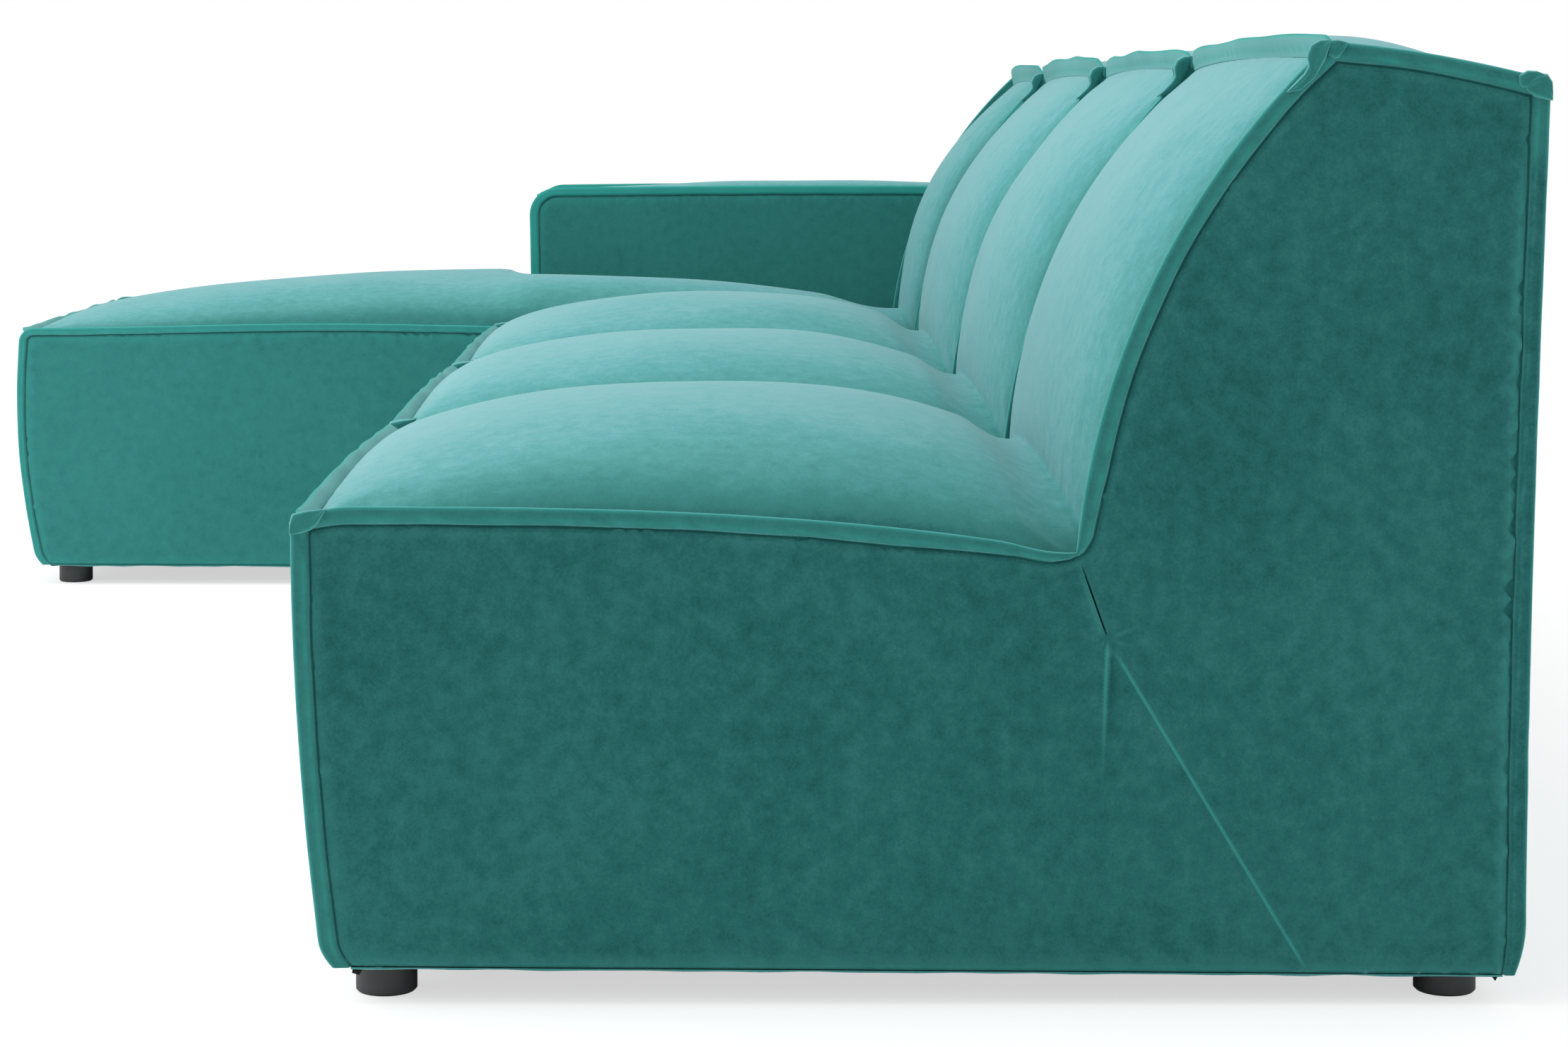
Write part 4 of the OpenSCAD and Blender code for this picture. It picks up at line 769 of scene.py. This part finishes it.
def chaiseCover(name, slotX, seed):
    shells = Shells()
    left, right = sofa["gap"], sofa["unitWidth"] - sofa["gap"]
    inLeft, inRight = left + flange["thick"], right - flange["thick"]
    stepX = sofa["armWidth"] + sofa["gap"]
    xs = np.concatenate([mix(inLeft - overlap, stepX, spaced(*columnCount["besideArm"]))[:-1],
                         mix(stepX, inRight + overlap, spaced(*columnCount["chaise"]))])
    stepColumn = columnCount["besideArm"][0]
    frontShare = sofa["chaiseShare"] * arch((xs - left) / (right - left))
    behindArm = np.clip((xs - stepX - flange["thick"]) / (inRight - stepX - flange["thick"]), 0, 1)
    backShare = sofa["chaiseShare"] * arch(behindArm)
    y, z, marks = sideOutline(flange["width"], -sofa["chaiseLength"], backShare, frontShare)
    stepRow = rowsToArm - 1
    # painted shade: the chaise's wrapped panels are painted a little darker
    p = wrapShell(shells, xs, y, z, marks, seed, (stepRow, stepColumn), marks[2], paintedLightAndShade["chaiseTop"])
    # the short wall in front of the arm
    edge = p[stepRow, :stepColumn + 1]
    down = spaced(*rowCount["wall"])[:, None]
    bulge = shortWall["crown"] * frontShare[:stepColumn + 1] * np.sin(np.pi * down)
    wallY = wallLine(down, flange["width"]) - bulge
    wallRows = np.stack([np.broadcast_to(edge[:, 0], wallY.shape), wallY,
                         mix(edge[None, :, 2] - shortWall["drop"], sofa["hem"], down)], -1)
    # painted light on the short wall
    shells.grid(np.concatenate([edge[None], wallRows]), False, shortWall["pile"])
    for k, angle in seamAngles.items():
        m, cut = marks[k], 0 if k == 1 else stepColumn
        crossFlange(shells, xs[cut:], y[m, cut:], z[m, cut:], angle, seed + 10 * k,
                    *(flaps["chaise"], *topFlap) if k == 3 else ())
    turnUnder(shells, xs, y[0], 1, seed + 5)
    turnUnder(shells, xs[stepColumn:], y[-1, stepColumn:], -1, seed + 6, z[-1, stepColumn:])
    turnUnder(shells, xs[:stepColumn + 1], wallRows[-1, :, 1], -1, seed + 7)
    # painted light: the chaise's far side panel and its flange are painted lighter
    base = sideFlange(shells, right, 1, lambda inset: sideOutline(inset, -sofa["chaiseLength"]),
                      seed + 21, innerPinch, flange["chaiseSquashed"], paintedLightAndShade["farSide"])
    sidePanel(shells, right, 1, base, seed + 31, cell=0.014, shadeOffset=paintedLightAndShade["farSide"])
    sideHem(shells, right, 1, base[0], base[-1], seed + 41)
    base = sideFlange(shells, left, -1, shortOutline, seed + 22)
    sidePanel(shells, left, -1, base, seed + 32, cell=0.012)
    sideHem(shells, left, -1, base[0], base[-1], seed + 42)
    base = sideFlange(shells, stepX, -1, stepOutline, seed + 23, innerPinch)
    sidePanel(shells, stepX, -1, base, seed + 33, cell=0.016)
    return shells.mesh(name, (slotX * sofa["unitWidth"], rowY, 0))


def armCover(name, slotX, seed):
    shells = Shells()
    left, right = sofa["gap"], sofa["armWidth"] - sofa["gap"]
    share = spaced(*columnCount["arm"])
    x = mix(left + flange["thick"] - overlap, right - flange["thick"] + overlap, share)
    y, z, marks = armOutline(flange["width"], arch(share))
    wrapShell(shells, x, y, z, marks, seed)
    for k, angle in ((1, 135), (2, 45)):
        crossFlange(shells, x, y[marks[k]], z[marks[k]], angle, seed + 10 * k)
    turnUnder(shells, x, y[0], 1, seed + 5)
    turnUnder(shells, x, y[-1], -1, seed + 6, z[-1])
    for xFace, way in ((left, -1), (right, 1)):
        # painted light: the arm's flanges and side panels are painted lighter
        base = sideFlange(shells, xFace, way, armOutline, seed + 20 + way, shadeOffset=paintedLightAndShade["armFold"])
        sidePanel(shells, xFace, way, base, seed + 30 + way, cell=0.013, shadeOffset=paintedLightAndShade["farSide"])
        sideHem(shells, xFace, way, base[0], base[-1], seed + 40 + way)
    return shells.mesh(name, (slotX * sofa["unitWidth"], rowY, 0))


# materials

def newMaterial(name):
    material = bpy.data.materials.new(name)
    material.use_nodes = True
    tree = material.node_tree
    tree.nodes.clear()
    out = tree.nodes.new("ShaderNodeOutputMaterial")
    shader = tree.nodes.new("ShaderNodeBsdfPrincipled")
    tree.links.new(shader.outputs["BSDF"], out.inputs["Surface"])
    return material, tree, shader


def setInputs(node, values):
    for label, value in values.items():
        node.inputs[label].default_value = value


def linear(r, g, b):
    def one(v):
        v = v / 255
        return v / 12.92 if v <= 0.04045 else ((v + 0.055) / 1.055) ** 2.4
    return (one(r), one(g), one(b), 1)


def unevennessGroup():
    # noise around 0, shared by every material: stretched, scaled and weighted by its inputs
    group = bpy.data.node_groups.new("unevenness", "ShaderNodeTree")
    for label, kind, value in (("Vector", "NodeSocketVector", None),
                               ("Stretch", "NodeSocketVector", (1, 1, 1)),
                               ("Scale", "NodeSocketFloat", 10), ("Detail", "NodeSocketFloat", 3),
                               ("Roughness", "NodeSocketFloat", 0.5), ("Amount", "NodeSocketFloat", 1)):
        socket = group.interface.new_socket(name=label, in_out="INPUT", socket_type=kind)
        if value is not None:
            socket.default_value = value
    group.interface.new_socket(name="Value", in_out="OUTPUT", socket_type="NodeSocketFloat")
    inside, outside = group.nodes.new("NodeGroupInput"), group.nodes.new("NodeGroupOutput")
    pull = group.nodes.new("ShaderNodeVectorMath")
    pull.operation = "MULTIPLY"
    texture = group.nodes.new("ShaderNodeTexNoise")
    centre, weigh = group.nodes.new("ShaderNodeMath"), group.nodes.new("ShaderNodeMath")
    centre.operation, weigh.operation = "SUBTRACT", "MULTIPLY"
    centre.inputs[1].default_value = 0.5
    join = group.links.new
    join(inside.outputs["Vector"], pull.inputs[0])
    join(inside.outputs["Stretch"], pull.inputs[1])
    join(pull.outputs["Vector"], texture.inputs["Vector"])
    for label in ("Scale", "Detail", "Roughness"):
        join(inside.outputs[label], texture.inputs[label])
    join(texture.outputs["Fac"], centre.inputs[0])
    join(centre.outputs["Value"], weigh.inputs[0])
    join(inside.outputs["Amount"], weigh.inputs[1])
    join(weigh.outputs["Value"], outside.inputs["Value"])
    return group


def noise(tree, place, scale, detail, rough, stretch=(1, 1, 1), amount=1.0):
    node = tree.nodes.new("ShaderNodeGroup")
    node.node_tree = bpy.data.node_groups["unevenness"]
    setInputs(node, {"Scale": scale, "Detail": detail, "Roughness": rough, "Stretch": stretch,
                     "Amount": amount})
    tree.links.new(place, node.inputs["Vector"])
    return node.outputs["Value"]


def plus(tree, value, other, times=1.0):
    # value + other * times
    node = tree.nodes.new("ShaderNodeMath")
    node.operation = "MULTIPLY_ADD"
    node.inputs[1].default_value = times
    tree.links.new(other, node.inputs[0])
    if value is None:
        node.inputs[2].default_value = 0.0
    else:
        tree.links.new(value, node.inputs[2])
    return node.outputs["Value"]


def blendTo(tree, colour, shade, factor):
    mixer = tree.nodes.new("ShaderNodeMix")
    mixer.data_type = "RGBA"
    mixer.inputs["B"].default_value = shade
    tree.links.new(colour, mixer.inputs["A"])
    tree.links.new(factor, mixer.inputs["Factor"])
    return mixer.outputs["Result"]


def velvetMaterial():
    # painted sheen: the base colour is deep where the surface faces the eye and pale where it is seen along
    # the surface, and the mesh's painted light and shade shift it further
    look = {"ramp": [(0.00, (26, 84, 82)), (0.10, (36, 98, 96)), (0.20, (46, 110, 107)),
                     (0.40, (55, 124, 120)), (0.57, (70, 140, 138)), (0.70, (84, 153, 154)),
                     (0.81, (104, 163, 166)), (0.95, (120, 169, 172))],
            "seam": (12, 52, 52), "fold": (48, 150, 141), "sheen": (190, 228, 230), "pile": 0.40,
            "clouds": 0.14, "mottle": 0.44, "streaks": 0.08, "grain": 0.26}
    material, tree, shader = newMaterial("tealVelvet")
    node, link = tree.nodes.new, tree.links.new
    place = node("ShaderNodeTexCoord").outputs["Object"]
    setInputs(shader, {"Sheen Weight": 0.22, "Sheen Roughness": 0.35, "Sheen Tint": linear(*look["sheen"]),
                       "Roughness": 0.92, "Specular IOR Level": 0.1})
    facing = node("ShaderNodeLayerWeight")
    facing.inputs["Blend"].default_value = 0.5
    level = node("ShaderNodeMapRange")
    level.inputs["To Min"].default_value = 0.10
    link(facing.outputs["Facing"], level.inputs["Value"])
    # the mesh's painted light and shade, read as an attribute
    pile = node("ShaderNodeAttribute")
    pile.attribute_name = "pile"
    fibre = noise(tree, place, 480, 3, 0.7)
    # painted sheen from the facing ramp, with the velvet's own clouds, mottle, streaks and grain added
    sheenAndMottle = plus(tree, level.outputs["Result"], noise(tree, place, 7, 3, 0.5), look["clouds"])
    sheenAndMottle = plus(tree, sheenAndMottle, noise(tree, place, 55, 8, 0.72), look["mottle"])
    sheenAndMottle = plus(tree, sheenAndMottle, noise(tree, place, 1, 4, 0.5, (70, 4, 4)), look["streaks"])
    sheenAndMottle = plus(tree, sheenAndMottle, fibre, look["grain"])
    sheenAndMottle = plus(tree, sheenAndMottle, pile.outputs["Fac"], look["pile"])
    ramp = node("ShaderNodeValToRGB")
    stops = ramp.color_ramp.elements
    while len(stops) < len(look["ramp"]):
        stops.new(0.5)
    for stop, (at, colour) in zip(stops, look["ramp"]):
        stop.position = at
        stop.color = linear(*colour)
    link(sheenAndMottle, ramp.inputs["Fac"])
    colour = ramp.outputs["Color"]
    # painted shade: a dark colour where the painted value is lowest, in the seams; painted light: a brighter
    # teal where it is high, on folds and edges
    for shade, slope, start in (("seam", -1.8, -0.75), ("fold", 0.9, -0.15)):
        share = node("ShaderNodeMath")
        share.operation = "MULTIPLY_ADD"
        share.use_clamp = True
        share.inputs[1].default_value = slope
        share.inputs[2].default_value = start
        link(pile.outputs["Fac"], share.inputs[0])
        colour = blendTo(tree, colour, linear(*look[shade]), share.outputs["Value"])
    link(colour, shader.inputs["Base Color"])
    bump = node("ShaderNodeBump")
    setInputs(bump, {"Strength": 0.35, "Distance": 0.0006})
    link(fibre, bump.inputs["Height"])
    link(bump.outputs["Normal"], shader.inputs["Normal"])
    return material


def plainMaterial(name, look):
    # one colour with its unevenness, for the pieces under the covers
    material, tree, shader = newMaterial(name)
    place = tree.nodes.new("ShaderNodeTexCoord").outputs["Object"]
    level = tree.nodes.new("ShaderNodeMapRange")
    setInputs(level, {"From Min": -0.5, "From Max": 0.5})
    grain = noise(tree, place, look["scale"], 5, 0.65, look["stretch"])
    tree.links.new(grain, level.inputs["Value"])
    ramp = tree.nodes.new("ShaderNodeValToRGB")
    ramp.color_ramp.elements[0].position, ramp.color_ramp.elements[1].position = 0.25, 0.75
    ramp.color_ramp.elements[0].color = linear(*look["dark"])
    ramp.color_ramp.elements[1].color = linear(*look["light"])
    tree.links.new(level.outputs["Result"], ramp.inputs["Fac"])
    tree.links.new(ramp.outputs["Color"], shader.inputs["Base Color"])
    dull = tree.nodes.new("ShaderNodeMapRange")
    dull.inputs["To Min"].default_value, dull.inputs["To Max"].default_value = look["roughness"]
    tree.links.new(level.outputs["Result"], dull.inputs["Value"])
    tree.links.new(dull.outputs["Result"], shader.inputs["Roughness"])
    shader.inputs["Metallic"].default_value = look["metallic"]
    bump = tree.nodes.new("ShaderNodeBump")
    setInputs(bump, {"Strength": look["bump"], "Distance": 0.0005})
    tree.links.new(noise(tree, place, look["fine"], 3, 0.6, look["stretch"]), bump.inputs["Height"])
    tree.links.new(bump.outputs["Normal"], shader.inputs["Normal"])
    return material


plainLooks = {
    "timber": {"dark": (176, 138, 92), "light": (214, 180, 134), "stretch": (0.12, 0.12, 1), "scale": 90,
               "fine": 300, "roughness": (0.65, 0.85), "metallic": 0.0, "bump": 0.3},
    "webbing": {"dark": (14, 14, 15), "light": (34, 34, 36), "stretch": (1, 1, 1), "scale": 260,
                "fine": 900, "roughness": (0.75, 0.95), "metallic": 0.0, "bump": 0.6},
    "feet_black": {"dark": (46, 46, 47), "light": (58, 58, 59), "stretch": (1, 1, 1), "scale": 60,
                   "fine": 500, "roughness": (0.42, 0.58), "metallic": 0.0, "bump": 0.15},
    "zinc": {"dark": (150, 152, 156), "light": (192, 194, 196), "stretch": (1, 1, 1), "scale": 70,
             "fine": 400, "roughness": (0.28, 0.48), "metallic": 0.9, "bump": 0.08},
    "dust_cloth": {"dark": (12, 12, 13), "light": (30, 30, 31), "stretch": (1, 1, 1), "scale": 340,
                   "fine": 800, "roughness": (0.85, 0.98), "metallic": 0.0, "bump": 0.5},
}

# dust cloths

# the cloth sags a little between its staples, and a scrap of its edge hangs out beside the end feet
dustCloth = {"thick": 0.0004, "below": 0.0003, "sag": 0.004, "sagOver": 0.12, "uneven": 0.25, "length": 0.2,
             "cell": 0.024, "rim": 0.006, "rimClear": 0.005, "scrapWide": 0.006, "scrapDeep": 0.006,
             "scraps": ((0.060, 0.0100), (1.008, 0.0150))}


def cutLoops(mesh):
    # the cut edge of each loose sheet in a CAD cloth, as pairs of points in plan, and its height
    whole = bmesh.new()
    whole.from_mesh(mesh)
    bmesh.ops.remove_doubles(whole, verts=whole.verts, dist=1e-5)
    whole.normal_update()
    left, sheets = set(whole.verts), []
    while left:
        reach = [left.pop()]
        for v in reach:
            for e in v.link_edges:
                other = e.other_vert(v)
                if other in left:
                    left.discard(other)
                    reach.append(other)
        pairs = []
        for e in {e for v in reach for e in v.link_edges}:
            if sum(f.normal.z < -0.9 for f in e.link_faces) == 1:
                pairs.append(sorted(tuple(round(c, 6) for c in v.co[:2]) for v in e.verts))
        sheets.append((sorted(pairs), max(v.co.z for v in reach)))
    whole.free()
    return sorted(sheets)


def dustSheet(name, pairs, top, seed):
    # a thin sheet cut as the CAD cloth is, stapled round its edges and sagging between them
    starts, ends = [], []
    for a, b in pairs:
        n = max(1, int(math.dist(a, b) / dustCloth["rim"]))
        chain = mix(np.array(a), np.array(b), np.linspace(0, 1, n + 1)[:, None])
        starts.append(chain[:-1])
        ends.append(chain[1:])
    starts, ends = np.vstack(starts), np.vstack(ends)
    lo, hi = starts.min(0), starts.max(0)
    gx, gy = np.meshgrid(*(np.arange(a, b, dustCloth["cell"]) for a, b in zip(lo, hi)))
    inner = np.stack([gx.ravel(), gy.ravel()], 1)
    inner = inner[within(inner, starts, ends)]
    inner = inner[nearest(inner, starts) > dustCloth["rimClear"]]
    flat, back = np.unique(np.round(np.vstack([starts, ends]), 6), axis=0, return_inverse=True)
    back = back.ravel()
    edges = list(zip(back[:len(starts)].tolist(), back[len(starts):].tolist()))
    flat, faces = triangulate(np.vstack([flat, inner]), edges, 0, 1e-7)
    faces = faces[within(flat[faces].mean(1), starts, ends)]
    turn = turns(flat, faces)
    faces = np.where((turn > 0)[:, None], faces, faces[:, ::-1])
    away = np.maximum(nearest(flat, starts) - dustCloth["rim"] / 2, 0)
    hill = ripple(seed, dustCloth["length"], flat[:, 0], flat[:, 1])
    hang = 1 - dustCloth["uneven"] + dustCloth["uneven"] * hill
    z = top - dustCloth["below"] - dustCloth["sag"] * ease(away / dustCloth["sagOver"]) * hang
    side = np.minimum(flat[:, 0] - lo[0], hi[0] - flat[:, 0])
    for at, drop in dustCloth["scraps"]:
        scrap = np.exp(-((flat[:, 1] - rowY - at) / dustCloth["scrapWide"]) ** 4)
        z = z - drop * scrap * np.exp(-side / dustCloth["scrapDeep"])
    upper = np.column_stack([flat, z])
    lower = np.column_stack([flat, z - dustCloth["thick"]])
    sides = np.vstack([faces[:, [0, 1]], faces[:, [1, 2]], faces[:, [2, 0]]])
    shared = {tuple(e) for e in sides.tolist()}
    rim = np.array([e for e in shared if e[::-1] not in shared])
    n = len(flat)
    walls = np.vstack([np.column_stack([rim[:, 0], rim[:, 0] + n, rim[:, 1] + n]),
                       np.column_stack([rim[:, 0], rim[:, 1] + n, rim[:, 1]])])
    shells = Shells()
    shells.add(np.vstack([upper, lower]), np.vstack([faces, faces[:, ::-1] + n, walls]), np.zeros(2 * n))
    return shells.mesh(name), (hi - lo).tolist(), float(np.abs(turn).sum() / 2)


# the scene

print("stage: materials")
unevennessGroup()
velvet = velvetMaterial()
plain = {slot: plainMaterial(slot + "Plain", look) for slot, look in plainLooks.items()}
slotOf = {row["node"]: row["material_slot"] for row in frame["record"]["subparts"]}
for name, node in frame["nodes"].items():
    if slotOf.get(name) in plain:
        node.data.materials.clear()
        node.data.materials.append(plain[slotOf[name]])

print("stage: covers")
for number, slotX, seed in ((1, 1, 11), (2, 0, 211), (3, -1, 411)):
    cover = unitCover("unit%dVelvetCover" % number, slotX, seed, 1 if number == 1 else 0,
                      flaps["unit"][number - 1])
    cover.data.materials.append(velvet)
    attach(cover, "unit_%d" % number)
    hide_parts(*["m%d_%s" % (number, n) for n in (
        "cover", "seat_foam", "back_foam", "base_padding", "back_padding")])
for name, build, nodes, seed in (
        ("chaiseVelvetCover", chaiseCover,
         ("cover", "seat_foam", "back_foam", "base_padding", "back_padding"), 611),
        ("armVelvetCover", armCover, ("arm_cover", "arm_foam", "arm_padding"), 811)):
    cover = build(name, -2, seed)
    cover.data.materials.append(velvet)
    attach(cover, "chaise")
    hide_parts(*["chaise_" + n for n in nodes])

print("stage: dust cloths")
clothUnits = (("m1", "unit_1"), ("m2", "unit_2"), ("m3", "unit_3"), ("chaise", "chaise"))
for number, (unit, body) in enumerate(clothUnits):
    source = unit + "_dust_cloth"
    for part, (pairs, top) in enumerate(cutLoops(frame["nodes"][source].data)):
        seed = 900 + 10 * number + part
        cloth, size, area = dustSheet("%sDustCloth%d" % (unit, part + 1), pairs, top, seed)
        cloth.data.materials.append(plain["dust_cloth"])
        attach(cloth, body)
        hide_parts(source)
        print("  dust cloth", cloth.name, [round(v, 4) for v in size], round(area, 4))

print("stage: floor, light and camera")
bpy.ops.object.select_all(action="DESELECT")
bpy.ops.mesh.primitive_plane_add(size=60, location=(0, 0, 0))
floor = bpy.context.object
floor.name = "floor"
floorMaterial, tree, shader = newMaterial("paleFloor")
setInputs(shader, {"Base Color": (0.94, 0.94, 0.94, 1), "Roughness": 0.9, "Specular IOR Level": 0.0})
glow = tree.nodes.new("ShaderNodeEmission")
blend = tree.nodes.new("ShaderNodeMixShader")
ray = tree.nodes.new("ShaderNodeLightPath")
share = tree.nodes.new("ShaderNodeMath")
share.operation = "MULTIPLY"
share.inputs[1].default_value = 0.5
glow.inputs["Strength"].default_value = 1.22
tree.links.new(ray.outputs["Is Camera Ray"], share.inputs[0])
tree.links.new(share.outputs["Value"], blend.inputs["Fac"])
tree.links.new(shader.outputs["BSDF"], blend.inputs[1])
tree.links.new(glow.outputs["Emission"], blend.inputs[2])
tree.links.new(blend.outputs["Shader"], tree.nodes["Material Output"].inputs["Surface"])
floor.data.materials.append(floorMaterial)

world = bpy.data.worlds.new("studio")
bpy.context.scene.world = world
world.use_nodes = True
sky = world.node_tree.nodes["Background"]
sky.inputs["Color"].default_value = (1, 1, 1, 1)
seen = world.node_tree.nodes.new("ShaderNodeLightPath")
strength = world.node_tree.nodes.new("ShaderNodeMapRange")
setInputs(strength, {"To Min": 0.85, "To Max": 1.0})
world.node_tree.links.new(seen.outputs["Is Camera Ray"], strength.inputs["Value"])
world.node_tree.links.new(strength.outputs["Result"], sky.inputs["Strength"])


def softBox(name, place, target, size, power):
    light = bpy.data.lights.new(name, "AREA")
    light.shape = "RECTANGLE"
    light.size, light.size_y = size
    light.energy = power
    lamp = bpy.data.objects.new(name, light)
    lamp.location = place
    lamp.rotation_euler = (Vector(target) - Vector(place)).to_track_quat("-Z", "Y").to_euler()
    bpy.context.scene.collection.objects.link(lamp)


softBox("overheadSoftBox", (0.6, -1.6, 3.6), (0.0, 0.2, 0.4), (4.0, 3.0), 90)
softBox("frontSoftBox", (1.2, -2.8, 1.3), (-0.9, -0.5, 0.2), (1.2, 1.0), 18)

view = {"distance": 2.684, "height": 0.7443, "across": 0.2062, "pitch": 1.5, "lens": 74.66,
        "shiftX": 0.03935, "shiftY": -0.209}
camera = bpy.data.cameras.new("photoCamera")
camera.lens = view["lens"]
camera.sensor_width = 36
camera.shift_x = view["shiftX"]
camera.shift_y = view["shiftY"]
eye = bpy.data.objects.new("photoCamera", camera)
eye.location = (1.6 + view["distance"], view["across"], view["height"])
eye.rotation_euler = (math.radians(90 - view["pitch"]), 0, math.radians(90))
bpy.context.scene.collection.objects.link(eye)
bpy.context.scene.camera = eye
bpy.context.scene.view_settings.view_transform = "Standard"
